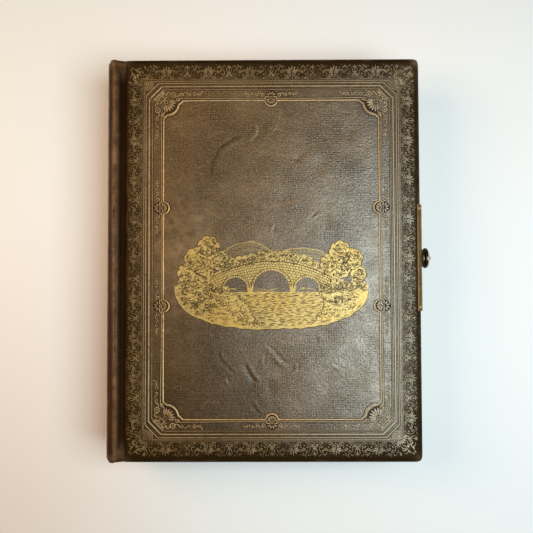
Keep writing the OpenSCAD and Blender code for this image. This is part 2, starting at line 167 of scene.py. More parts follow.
def grid_rim(nx: int, ny: int) -> list[int]:
    """Numbers of the points round a grid, from the first point along the first row."""
    rim = list(range(nx)) + [j * nx + nx - 1 for j in range(1, ny)]
    return rim + [(ny - 1) * nx + i for i in range(nx - 2, -1, -1)] + [j * nx for j in range(ny - 2, 0, -1)]


def wall(a: Sequence[int], b: Sequence[int]) -> list[Face]:
    """Faces between two closed loops of as many points."""
    n = len(a)
    return [(a[(k + 1) % n], a[k], b[k], b[(k + 1) % n]) for k in range(n)]


def darker(colour: Colour, share: float) -> Colour:
    """A colour brought down to a share of its light."""
    return tuple(c * share for c in colour)


def box_mm(node: str) -> tuple[list[float], list[float]]:
    """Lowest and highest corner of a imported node, in mm."""
    low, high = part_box(node)
    return [v / MM for v in low], [v / MM for v in high]


def to_back(mesh: bpy.types.Mesh, total: float) -> None:
    """Mirror a mesh of the front cover to the back one.

    Args:
        mesh: Mesh to change.
        total: Sum of a height and its mirrored height, in mm.
    """
    for v in mesh.vertices:
        v.co.z = total * MM - v.co.z
    mesh.flip_normals()


class Graph:
    """Short way to write a material's nodes."""

    # Painted sheen: the pale grey mixed into raised work and gilt where the window's reflection falls.
    sheen_grey: Colour = (0.42, 0.385, 0.275)

    def __init__(self, name: str) -> None:
        """Start a material with a bare Principled shader.

        Args:
            name: Name of the material.
        """
        self.material = bpy.data.materials.new(name)
        self.material.use_nodes = True
        self.tree = self.material.node_tree
        self.shader = self.tree.nodes["Principled BSDF"]
        coords = self.tree.nodes.new("ShaderNodeTexCoord").outputs
        self.spot = coords["Object"]
        self.facing = coords["Normal"]

    def put(self, socket: Socket, value: object) -> None:
        """Link an input to a socket, or set it.

        Args:
            socket: Input to set.
            value: Socket, number or tuple; a colour is a tuple of three.
        """
        if isinstance(value, Socket):
            self.tree.links.new(value, socket)
        else:
            socket.default_value = (*value, 1.0) if socket.type == "RGBA" else value

    def fill(self, node: bpy.types.Node, values: dict[str, object]) -> None:
        """Set a node's inputs by name, with underscores for spaces."""
        for key, value in values.items():
            self.put(node.inputs[key.replace("_", " ")], value)

    def node(self, kind: str, out: str, **inputs: object) -> Socket:
        """Add a node and set its inputs.

        Args:
            kind: Node type, less its first word ShaderNode.
            out: Output that is wanted.
            inputs: Values or sockets by input name.

        Returns:
            The output's socket.
        """
        node = self.tree.nodes.new(f"ShaderNode{kind}")
        self.fill(node, inputs)
        return node.outputs[out]

    def stretched(self, scale: Spot, turn: float = 0.0) -> Socket:
        """Object coordinates turned about Z by degrees and scaled along each axis."""
        around_z = (0, 0, math.radians(turn))
        return self.node("Mapping", "Vector", Vector=self.spot, Rotation=around_z, Scale=scale)

    def cloud(self, scale: float, detail: float = 3.0, vector: Socket | None = None,
              distortion: float = 0.0) -> Socket:
        """Noise factor at a scale given in features a metre."""
        return self.node("TexNoise", "Fac", Vector=vector or self.spot, Scale=scale, Detail=detail,
                         Distortion=distortion)

    def cells(self, scale: float) -> Socket:
        """Distance to the nearest of many scattered points."""
        return self.node("TexVoronoi", "Distance", Vector=self.spot, Scale=scale)

    def bands(self, scale: float, vector: Socket, distortion: float) -> Socket:
        """Wavering parallel bands."""
        return self.node("TexWave", "Fac", Vector=vector, Scale=scale, Distortion=distortion, Detail=2.0)

    def attribute(self, name: str) -> Socket:
        """Read a number stored on the mesh.

        Args:
            name: Name of the attribute.

        Returns:
            The number.
        """
        node = self.tree.nodes.new("ShaderNodeAttribute")
        node.attribute_name = name
        return node.outputs["Fac"]

    def remap(self, value: Socket, low: float, high: float, to_low: float = 0.0,
              to_high: float = 1.0) -> Socket:
        """Move a range of values to another range, clamped."""
        return self.node("MapRange", "Result", Value=value, From_Min=low, From_Max=high, To_Min=to_low,
                         To_Max=to_high)

    def place(self, axis: str, low: float, high: float, to_low: float = 0.0,
              to_high: float = 1.0) -> Socket:
        """A number that changes evenly along one axis between two places in metres."""
        return self.remap(self.node("SeparateXYZ", axis, Vector=self.spot), low, high, to_low, to_high)

    def painted_sheen(self, colour: Socket, share: float) -> Socket:
        """Paint a pale grey sheen into a colour towards the fore edge and tail, standing in for the
        window's reflection.
        """
        sheen_mask = self.times(self.place("X", 0.0, 0.09), self.place("Y", 0.18, 0.0), share)
        return self.mix(sheen_mask, colour, self.sheen_grey)

    def math(self, kind: str, a: object, b: object) -> Socket:
        """One sum of two numbers.

        Args:
            kind: Blender's name of the sum.
            a: First number or socket.
            b: Second number or socket.

        Returns:
            The result.
        """
        node = self.tree.nodes.new("ShaderNodeMath")
        node.operation = kind
        for socket, value in zip(node.inputs, (a, b)):
            self.put(socket, value)
        return node.outputs["Value"]

    def times(self, *factors: object) -> Socket:
        """Product of several sockets or plain numbers."""
        return reduce(partial(self.math, "MULTIPLY"), factors)

    def mix(self, factor: object, a: object, b: object) -> Socket:
        """Mix two colours.

        Args:
            factor: Share of the second colour.
            a: First colour.
            b: Second colour.

        Returns:
            The mixed colour.
        """
        node = self.tree.nodes.new("ShaderNodeMix")
        node.data_type = "RGBA"
        self.put(node.inputs["Factor"], factor)
        for key, value in (("A", a), ("B", b)):
            self.put(next(s for s in node.inputs if s.name == key and s.type == "RGBA"), value)
        return next(s for s in node.outputs if s.type == "RGBA")

    def bump(self, height: Socket, depth: float, strength: float = 1.0,
             under: Socket | None = None) -> Socket:
        """Bump from a height, depth in metres, on top of another bump where there is one."""
        below = {"Normal": under} if under else {}
        return self.node("Bump", "Normal", Height=height, Distance=depth, Strength=strength, **below)

    def finish(self, **sockets: object) -> Material:
        """Set the shader's inputs and give the material."""
        self.fill(self.shader, sockets)
        return self.material


@dataclass(frozen=True)
class LeatherFinish:
    """Grained cover leather: mottled and creased, pale where rubbed and where its numbers paint a
    highlight, with a painted grey sheen towards the fore edge and tail.
    """

    name: str
    base: Colour
    deep: Colour
    rub_and_highlight: Colour
    rough: float = 0.44
    grain: float = 1.0
    shine: float = 0.55
    sheen_share: float = 0.0
    dust: Colour = (0.42, 0.34, 0.24)
    sheen: Colour = (1.0, 0.97, 0.88)

    def build(self) -> Material:
        """Make the material.

        Returns:
            The leather, reading the mesh's numbers for rubbing with painted highlights, and for tone.
        """
        g = Graph(self.name)
        mottle = g.remap(g.cloud(15, 5, None, 0.6), 0.34, 0.68)
        colour = g.mix(mottle, self.deep, self.base)
        across = g.bands(262, g.stretched((1, 0.7, 1)), 3.5)
        along = g.bands(275, g.stretched((1, 0.7, 1), 90), 3.5)
        patchy = g.remap(g.cloud(35, 3), 0.35, 0.65, 0.02, 0.17)
        grain = g.math("ADD", g.times(g.math("ADD", across, along), patchy), g.cloud(760, 4))
        fine = g.remap(grain, 0.44, 0.80)
        colour = g.mix(g.times(fine, 0.78 * self.grain), colour, darker(self.deep, 0.38))
        scuff = g.remap(g.cloud(75, 6, g.stretched((1, 2.2, 1), 35), 1.6), 0.58, 0.72)
        colour = g.mix(g.times(scuff, 0.2 * self.grain), colour, self.rub_and_highlight)
        # The wear numbers hold real rubbing and painted highlights on crests and creases.
        worn = g.times(g.attribute("wear"), g.remap(g.cloud(190, 5), 0.3, 0.62))
        # Painted sheen: paler grey towards the fore edge and tail.
        colour = g.painted_sheen(g.mix(worn, colour, self.rub_and_highlight), self.sheen_share)
        # Tone darkens by the mesh's numbers, which hold painted shade as well as burnished edges.
        tone = g.attribute("tone")
        colour = g.mix(tone, colour, darker(self.deep, 0.22))
        speck = g.math("LESS_THAN", g.cells(60), 0.035)
        rare = g.math("GREATER_THAN", g.cloud(24, 2), 0.62)
        colour = g.mix(g.times(speck, rare, 0.75), colour, self.dust)
        normal = g.bump(grain, 0.00036, 0.6 * self.grain)
        creased = g.cloud(170, 5, g.stretched((1, 1.5, 1), 30), 1.0)
        normal = g.bump(creased, 0.0004, 0.36 * self.grain, normal)
        rough = g.remap(g.cloud(90, 4), 0.3, 0.7, self.rough - 0.07, self.rough + 0.09)
        polish = g.remap(fine, 0, 1, self.shine * 1.25, self.shine * 0.45)
        handled = g.place("X", -0.075, 0.085, 0.36, 1.12)
        gloss = g.times(polish, handled, g.remap(tone, 0, 0.88, 1, 0.04))
        return g.finish(Base_Color=colour, Roughness=rough, Normal=normal, Specular_IOR_Level=gloss,
                        IOR=1.66, Specular_Tint=self.sheen)


@dataclass(frozen=True)
class GiltFinish:
    """Gold leaf pressed in leather, rubbed through in places, with a painted pale sheen towards the fore
    edge and tail.
    """

    name: str
    gold: Colour
    under: Colour
    loss: float
    metal: float = 0.75
    rough: float = 0.42
    sheen_share: float = 0.0

    def build(self) -> Material:
        """Make the material.

        Returns:
            The gilt, brown where the leaf is lost.
        """
        g = Graph(self.name)
        grains = g.math("ADD", g.times(g.cloud(300, 5), 0.6), g.times(g.cloud(45, 3), 0.4))
        kept = g.remap(grains, self.loss - 0.09, self.loss + 0.07)
        kept = g.times(kept, g.remap(g.attribute("tone"), 0, 1, 1, 0.1))
        red, green, blue = self.gold
        warm, pale = (red, green * 0.88, blue * 0.70), (red * 1.02, green * 1.08, blue * 1.45)
        leaf = g.mix(g.remap(g.cloud(16, 3), 0.36, 0.62), warm, pale)
        leaf = g.mix(g.remap(g.cloud(700, 2), 0.35, 0.65, 0, 0.55), leaf, self.under)
        # Painted sheen: paler grey towards the fore edge and tail.
        colour = g.painted_sheen(g.mix(kept, self.under, leaf), self.sheen_share)
        normal = g.bump(g.cloud(900, 3), 0.00006, 0.6)
        return g.finish(Base_Color=colour, Metallic=g.times(kept, self.metal), Roughness=self.rough,
                        Normal=normal)


@dataclass(frozen=True)
class MetalFinish:
    """Handled metal: brushed along and spotted with darker tarnish."""

    name: str
    base: Colour
    tarnish: Colour
    rough: float
    tarnished: float = 0.55
    metal: float = 1.0

    def build(self) -> Material:
        """Make the material.

        Returns:
            The metal.
        """
        g = Graph(self.name)
        spots = g.times(g.remap(g.cloud(130, 6), 0.42, 0.68), self.tarnished)
        colour = g.mix(spots, self.base, self.tarnish)
        rough = g.remap(g.cloud(420, 4), 0.3, 0.7, self.rough - 0.07, self.rough + 0.12)
        normal = g.bump(g.cloud(260, 3, g.stretched((6, 0.4, 6))), 0.00005, 0.5)
        return g.finish(Base_Color=colour, Metallic=self.metal, Roughness=rough, Normal=normal)


@dataclass(frozen=True)
class EnamelFinish:
    """Black enamel that leaves a bare brass rim beyond a place along X."""

    name: str
    rim: float
    black: Colour = (0.012, 0.011, 0.011)
    chip: Colour = (0.05, 0.035, 0.02)
    brass: Colour = (0.70, 0.51, 0.25)

    def build(self) -> Material:
        """Make the material.

        Returns:
            The enamel.
        """
        g = Graph(self.name)
        bare = g.place("X", (self.rim - 0.02) * MM, (self.rim + 0.02) * MM)
        chips = g.remap(g.cloud(500, 4), 0.62, 0.7)
        colour = g.mix(bare, g.mix(chips, self.black, self.chip), self.brass)
        return g.finish(Base_Color=colour, Metallic=g.times(bare, 0.6),
                        Roughness=g.remap(bare, 0, 1, 0.12, 0.36))


@dataclass(frozen=True)
class CardFinish:
    """Aged card or paper, with gilt on its cut edges where asked."""

    name: str
    base: Colour
    aged: Colour
    gilt_edges: bool = False
    watered: float = 0.0
    fox: Colour = (0.42, 0.27, 0.13)
    silk: Colour = (0.86, 0.81, 0.71)
    size_coat: Colour = (0.40, 0.29, 0.15)
    gold: Colour = (0.62, 0.42, 0.16)

    def build(self) -> Material:
        """Make the material.

        Returns:
            The card, foxed and faintly fibrous.
        """
        g = Graph(self.name)
        colour = g.mix(g.remap(g.cloud(22, 5), 0.38, 0.7), self.base, self.aged)
        foxed = g.times(g.math("LESS_THAN", g.cells(95), 0.07), 0.28)
        colour = g.mix(foxed, colour, self.fox)
        if self.watered:
            wet = g.bands(46, g.stretched((1, 0.22, 1), 6), 7.0)
            colour = g.mix(g.times(g.remap(wet, 0.3, 0.8), self.watered), colour, self.silk)
        fibre = g.bump(g.cloud(900, 4, g.stretched((1, 3, 1))), 0.00004, 0.6)
        if not self.gilt_edges:
            return g.finish(Base_Color=colour, Roughness=0.82, Normal=fibre)
        upright = g.math("ABSOLUTE", g.node("SeparateXYZ", "Z", Vector=g.facing), 0.0)
        edge = g.math("LESS_THAN", upright, 0.5)
        colour = g.mix(g.times(edge, 0.85), colour, self.size_coat)
        kept = g.times(edge, g.remap(g.cloud(160, 5), 0.28, 0.48))
        colour = g.mix(kept, colour, self.gold)
        return g.finish(Base_Color=colour, Metallic=g.times(kept, 0.8),
                        Roughness=g.remap(edge, 0, 1, 0.82, 0.42), Normal=fibre)


@dataclass(frozen=True)
class LinenFinish:
    """Plain-woven linen for the hinges of the leaves."""

    name: str
    base: Colour

    def build(self) -> Material:
        """Make the material.

        Returns:
            The linen.
        """
        g = Graph(self.name)
        warp = g.bands(420, g.stretched((1, 0.02, 1)), 0.4)
        weft = g.bands(420, g.stretched((0.02, 1, 1), 90), 0.4)
        colour = g.mix(g.remap(g.cloud(40, 4), 0.35, 0.7), self.base, darker(self.base, 0.6))
        return g.finish(Base_Color=colour, Roughness=0.88, Normal=g.bump(g.times(warp, weft), 0.00012, 0.8))


@dataclass(frozen=True)
class FloorFinish:
    """Pale surface under the album, with painted light in its colour."""

    name: str
    far: Colour
    near: Colour
    cool: Colour
    warm: Colour

    def build(self) -> Material:
        """Make the material.

        Returns:
            The floor, with painted shade darker towards the tail, a painted cool light in the upper left
            and a painted warm glow in the lower left.
        """
        g = Graph(self.name)
        # Painted light: darker towards the tail, cool in the upper left, a warm glow in the lower left.
        colour = g.mix(g.place("Y", 0.17, -0.17), self.far, self.near)
        left = g.place("X", -0.04, -0.19)
        colour = g.mix(g.times(left, g.place("Y", -0.02, 0.17)), colour, self.cool)
        colour = g.mix(g.times(left, g.place("Y", 0.04, -0.19)), colour, self.warm)
        return g.finish(Base_Color=colour, Roughness=0.75)


class Palette:
    """All finishes of the album, made once."""

    enamel_rim: float = 0.9

    def __init__(self) -> None:
        """Make each material."""
        self.cover = LeatherFinish("cover_leather", (0.151, 0.083, 0.0225), (0.075, 0.038, 0.0095),
                                   (0.38, 0.235, 0.095), 0.39, 1.0, 0.88).build()
        self.spine = LeatherFinish("spine_leather_finish", (0.080, 0.033, 0.011), (0.040, 0.015, 0.005),
                                   (0.34, 0.20, 0.09), 0.34, 0.45, 0.5).build()
        self.joint = LeatherFinish("joint_leather_finish", (0.080, 0.036, 0.012), (0.042, 0.018, 0.006),
                                   (0.34, 0.20, 0.09), 0.46, 0.5, 0.25).build()
        # The tooled, stamped and gilt finishes below carry a painted sheen towards the fore edge and tail.
        self.tooled = LeatherFinish("tooled_ridges", (0.21, 0.124, 0.038), (0.12, 0.067, 0.020),
                                    (0.345, 0.23, 0.095), 0.38, 0.3, 0.9, 0.75).build()
        # Dark strips by rules and ornaments: partly burnished leather, partly painted shade of pressed
        # grooves.
        self.burnished_shade = LeatherFinish("burnished_lines", (0.045, 0.025, 0.012), (0.024, 0.013, 0.007),
                                   (0.07, 0.04, 0.02), 0.5, 0.3, 0.1).build()
        self.cut = LeatherFinish("engraved_lines", (0.095, 0.060, 0.022), (0.058, 0.035, 0.013),
                                 (0.12, 0.075, 0.03), 0.5, 0.3, 0.2).build()
        self.stamp = LeatherFinish("stamped_scrolls", (0.28, 0.172, 0.060), (0.20, 0.12, 0.041),
                                   (0.46, 0.31, 0.13), 0.36, 0.2, 0.8, 0.75).build()
        self.rule = GiltFinish("worn_gilt", (0.41, 0.275, 0.107), (0.175, 0.107, 0.045), 0.44, 0.25,
                               sheen_share=0.85).build()
        self.line = GiltFinish("rubbed_gilt", (0.61, 0.415, 0.16), (0.24, 0.15, 0.06), 0.40, 0.4,
                               sheen_share=0.5).build()
        self.gilt = GiltFinish("bright_gilt", (0.57, 0.42, 0.12), (0.30, 0.185, 0.055), 0.40, 0.5).build()
        self.brass = MetalFinish("aged_brass", (0.34, 0.215, 0.09), (0.11, 0.065, 0.028), 0.46, 0.7).build()
        # Painted shade: the hasp's brass is darkened to the shadow it lies in beside the knob, over its
        # tarnish.
        self.shaded_hasp_brass = MetalFinish("tarnished_brass", (0.10, 0.062, 0.026), (0.03, 0.02, 0.01), 0.5,
                                0.7).build()
        self.bright = MetalFinish("polished_brass", (0.74, 0.53, 0.25), (0.30, 0.19, 0.08), 0.33, 0.4,
                                  0.6).build()
        self.black = EnamelFinish("black_enamel", box_mm("knob_skirt")[1][0] - self.enamel_rim).build()
        self.steel = MetalFinish("spring_steel", (0.5, 0.49, 0.47), (0.2, 0.17, 0.14), 0.3).build()
        self.mat = CardFinish("mat_card_finish", (0.80, 0.73, 0.59), (0.66, 0.56, 0.40), True).build()
        self.core = CardFinish("divider_finish", (0.62, 0.54, 0.41), (0.50, 0.41, 0.28), True).build()
        self.paste = CardFinish("watered_paper", (0.80, 0.74, 0.62), (0.66, 0.57, 0.43), False, 0.6).build()
        self.guards = CardFinish("guard_stack", (0.36, 0.27, 0.165), (0.24, 0.17, 0.10)).build()
        self.mill = CardFinish("millboard", (0.36, 0.30, 0.22), (0.28, 0.22, 0.15)).build()
        self.linen = LinenFinish("hinge_linen", (0.23, 0.075, 0.06)).build()
        self.floor = FloorFinish("pale_floor", (0.99, 0.99, 0.99), (0.935, 0.96, 0.975),
                                 (0.91, 0.985, 0.99), (0.90, 0.83, 0.765)).build()


def mesh_piece(name: str, verts: Sequence[Spot], faces: Sequence[Face], material: Material,
               numbers: dict[str, Sequence[float]] | None = None, mirror: float | None = None,
               flat: bool = False, weld: bool = False) -> Piece:
    """Make an object from points in mm.

    Args:
        name: Name of the piece.
        verts: Points in mm.
        faces: Corner numbers of each face.
        material: Finish of the whole piece.
        numbers: Values to store on the points, by name.
        mirror: Sum of a height and its mirrored height, for a piece of the back cover.
        flat: True to leave the faces flat-shaded.
        weld: True to join points that fall together.

    Returns:
        The object, at the origin, linked to the scene.
    """
    points = np.array(verts, float)
    if mirror is not None:
        points[:, 2] = mirror - points[:, 2]
        faces = [face[::-1] for face in faces]
    mesh = bpy.data.meshes.new(name)
    mesh.from_pydata((points * MM).tolist(), [], [list(face) for face in faces])
    for key, values in (numbers or {}).items():
        stored = mesh.attributes.new(key, "FLOAT", "POINT")
        stored.data.foreach_set("value", np.asarray(values, np.float32))
    mesh.materials.append(material)
    if weld:
        joined = bmesh.new()
        joined.from_mesh(mesh)
        bmesh.ops.remove_doubles(joined, verts=joined.verts, dist=2e-6)
        bmesh.ops.dissolve_degenerate(joined, dist=1e-6, edges=joined.edges)
        joined.to_mesh(mesh)
        joined.free()
    mesh.polygons.foreach_set("use_smooth", [not flat] * len(mesh.polygons))
    mesh.update()
    piece = bpy.data.objects.new(name, mesh)
    bpy.context.scene.collection.objects.link(piece)
    return piece


@dataclass(frozen=True)
class Crease:
    """A bend in the leather along a few points, or a dent where there is one point."""

    points: tuple[Point, ...]
    depth: float
    width: float = 1.0
    # The last two numbers paint light: a highlight along the crease, and shade in it.
    rub_and_highlight: float = 0.0
    dark: float = 0.0

    @cached_property
    def reach(self) -> float:
        """Distance from its points at which the crease has run out."""
        return 5 * self.width

    @cached_property
    def box(self) -> tuple[float, ...]:
        """Smallest and largest x and y that the crease reaches."""
        xs, ys = zip(*self.points)
        return min(xs) - self.reach, max(xs) + self.reach, min(ys) - self.reach, max(ys) + self.reach

    def misses(self, x: float, y: float) -> bool:
        """True where a point is out of the crease's reach."""
        x0, x1, y0, y1 = self.box
        return not (x0 < x < x1 and y0 < y < y1)

    def near(self, x: float, y: float) -> Spot:
        """Find the nearest place on the crease.

        Args:
            x: Place across.
            y: Place along.

        Returns:
            Distance, the same with its side's sign, and share of the way along.
        """
        best, side, share = 1e3, 0.0, 0.0
        count = len(self.points) - 1
        for k, (a, b) in enumerate(zip(self.points, self.points[1:])):
            dx, dy = b[0] - a[0], b[1] - a[1]
            t = min(1.0, max(0.0, ((x - a[0]) * dx + (y - a[1]) * dy) / (dx * dx + dy * dy)))
            far = math.hypot(x - a[0] - dx * t, y - a[1] - dy * t)
            if far < best:
                best, share = far, (k + t) / count
                side = math.copysign(far, (x - a[0]) * dy - (y - a[1]) * dx)
        return best, side, share

    def mark(self, x: float, y: float) -> float:
        """Tell how strongly the crease shows.

        Args:
            x: Place across.
            y: Place along.

        Returns:
            Strength from 0 to 1.
        """
        if len(self.points) == 1 or self.misses(x, y):
            return 0.0
        best, _, share = self.near(x, y)
        ends = smooth(0, 0.15, share) * (1 - smooth(0.85, 1, share))
        return math.exp(-(best / (0.75 * self.width)) ** 2) * ends

    def rise(self, x: float, y: float) -> float:
        """Tell the height that the crease adds: a hollow with a ridge along one side.

        Args:
            x: Place across.
            y: Place along.

        Returns:
            Height in mm.
        """
        if self.misses(x, y):
            return 0.0
        if len(self.points) == 1:
            far = math.dist((x, y), self.points[0]) / self.width
            return -self.depth * math.exp(-far * far) if far < 3 else 0.0
        best, side, share = self.near(x, y)
        if best >= self.reach:
            return 0.0
        fade = smooth(0, 0.25, share) * (1 - smooth(0.75, 1, share))
        fade *= 1 - smooth(3 * self.width, self.reach, best)
        q = side / self.width
        return self.depth * fade * (0.8 * math.exp(-((q - 1.5) / 1.3) ** 2) - math.exp(-(q / 0.8) ** 2))


# Creases; the second and third paint a highlight beside them, the first paints shade in its hollow.
CREASES = (
    Crease(((-36.8, 58.3), (-35.8, 69.5), (-30.6, 79.8), (-22.4, 86), (-14.2, 88.6)), 0.24, 1.4, 0, 0.45),
    Crease(((-10, 83.9), (-4.9, 89.1), (-3.8, 94.2), (-5.9, 97.3)), -0.19, 0.8, 0.8),
    Crease(((13.1, 110.1), (11.6, 100.4), (8.5, 93.1), (3.3, 88.6)), -0.20, 0.7, 0.85),
    Crease(((8.3, 25.3), (7.2, 18.5)), 0.34, 0.9),
    Crease(((34.4, 29.9), (40.5, 34.6)), 0.20, 0.9),
    Crease(((-12.2, -72.8), (-8, -81), (-2.8, -88.1)), -0.42, 1.5),
    Crease(((-31.7, -63.6), (-28.7, -71.7), (-22.4, -78), (-17.2, -81)), -0.24, 1),
    Crease(((0.2, -59.5), (7.4, -65.7), (13.6, -72.8), (18.7, -74.9)), 0.38, 1.5),
    Crease(((1.2, -69.7), (0.2, -74.9)), 0.36, 1),
    Crease(((24.9, -74.9), (23.9, -80)), 0.40, 1),
    Crease(((48.6, -73.8), (56.7, -78.8)), 0.34, 1),
    Crease(((-8, -100.3), (-3.9, -106.7), (0.2, -110.8)), -0.34, 1.2),
    Crease(((-26.5, -84.5), (-24, -88.8)), 0.32, 0.9),
    Crease(((62, -40), (70, -30)), 0.25, 1.2),
    Crease(((24.9, 72.1),), 0.34, 2.4),
    Crease(((37.8, -58.4),), 0.42, 1.8),
    Crease(((40.2, 67.8),), 0.30, 5),
    Crease(((62, 90.7),), 0.34, 6),
    Crease(((14, 43),), 0.30, 6),
    Crease(((4, -92),), 0.34, 5))


@dataclass(frozen=True)
class Board:
    """Plan and rolled edges of the covered boards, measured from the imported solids.

    A swell is the height, spread and seed of a soft rise and fall of the leather.
    """

    x_near: float
    x_fore: float
    half_h: float
    z_in: float
    z_top: float
    both: float
    edge_r: float = 4.5
    near_r: float = 4.0
    corner_r: float = 6.6
    field_x: float = 5.9
    field_hx: float = 77.3
    field_hy: float = 114.1
    band_out: float = 15.2
    small_swell: Spot = (0.06, 9, 3.0)
    field_swells: tuple[Spot, ...] = ((0.22, 42, 1.0), (0.11, 15, 7.0), (0.05, 5, 2.0))

    @classmethod
    def measured(cls) -> Board:
        """Read the front cover's box from the frame."""
        low, high = box_mm("front_leather")
        return cls(low[0], high[0], high[1], low[2], high[2], high[2])

    def sunk(self, depth: float) -> Board:
        """The same board with its outer face lower, so that raised work stays above the table."""
        return replace(self, z_top=self.z_top - depth)

    @staticmethod
    def roll(d: float, r: float) -> float:
        """Drop of an edge rolled to radius r, at a distance d from the edge."""
        q = r - min(max(d, 0.0), r)
        return r - math.sqrt(r * r - q * q)

    def wave(self, x: float, y: float) -> float:
        """Tell the soft rise and fall of the leather, with its creases in the field.

        Args:
            x: Place across.
            y: Place along.

        Returns:
            Height over the plain board.
        """
        inset = min(self.field_hx - abs(x - self.field_x), self.field_hy - abs(y))
        high, size, seed = self.small_swell
        rise = high * ripple(x, y, size, seed)
        if inset <= 1:
            return rise * 0.5
        rise += sum(high * ripple(x, y, size, seed) for high, size, seed in self.field_swells)
        return smooth(1, 8, inset) * (rise + sum(crease.rise(x, y) for crease in CREASES))

    def shade(self, x: float, y: float) -> float:
        """Tell how dark raised work is: painted shade towards the joint groove, edges darker partly from
        burnishing and partly as painted shade of their roll, and random worn patches.

        Args:
            x: Place across.
            y: Place along.

        Returns:
            Darkness from 0 to 1.
        """
        # Painted shade towards the groove; at the other edges partly burnishing, partly painted shade of
        # the roll.
        near = 0.7 * (1 - smooth(1.0, 7.5, x - self.x_near))
        fore = 0.8 * (1 - smooth(3.6, 7.4, self.x_fore - x))
        tail = 0.8 * (1 - smooth(3.0, 11.0, self.half_h + y))
        head = 0.65 * (1 - smooth(2.0, 7.0, self.half_h - y))
        worn = 0.42 * smooth(0.0, 0.5, ripple(x, y, 11, 9.0))
        return max(near, fore, tail, head, worn)

    def top(self, x: float, y: float) -> float:
        """Tell the height of the front cover's outer face.

        Args:
            x: Place across.
            y: Place along.

        Returns:
            Height over the table.
        """
        dx = max(self.roll(x - self.x_near, self.near_r), self.roll(self.x_fore - x, self.edge_r))
        dy = self.roll(self.half_h - abs(y), self.edge_r)
        return self.z_top - (dx ** 3 + dy ** 3) ** (1 / 3) + self.wave(x, y)


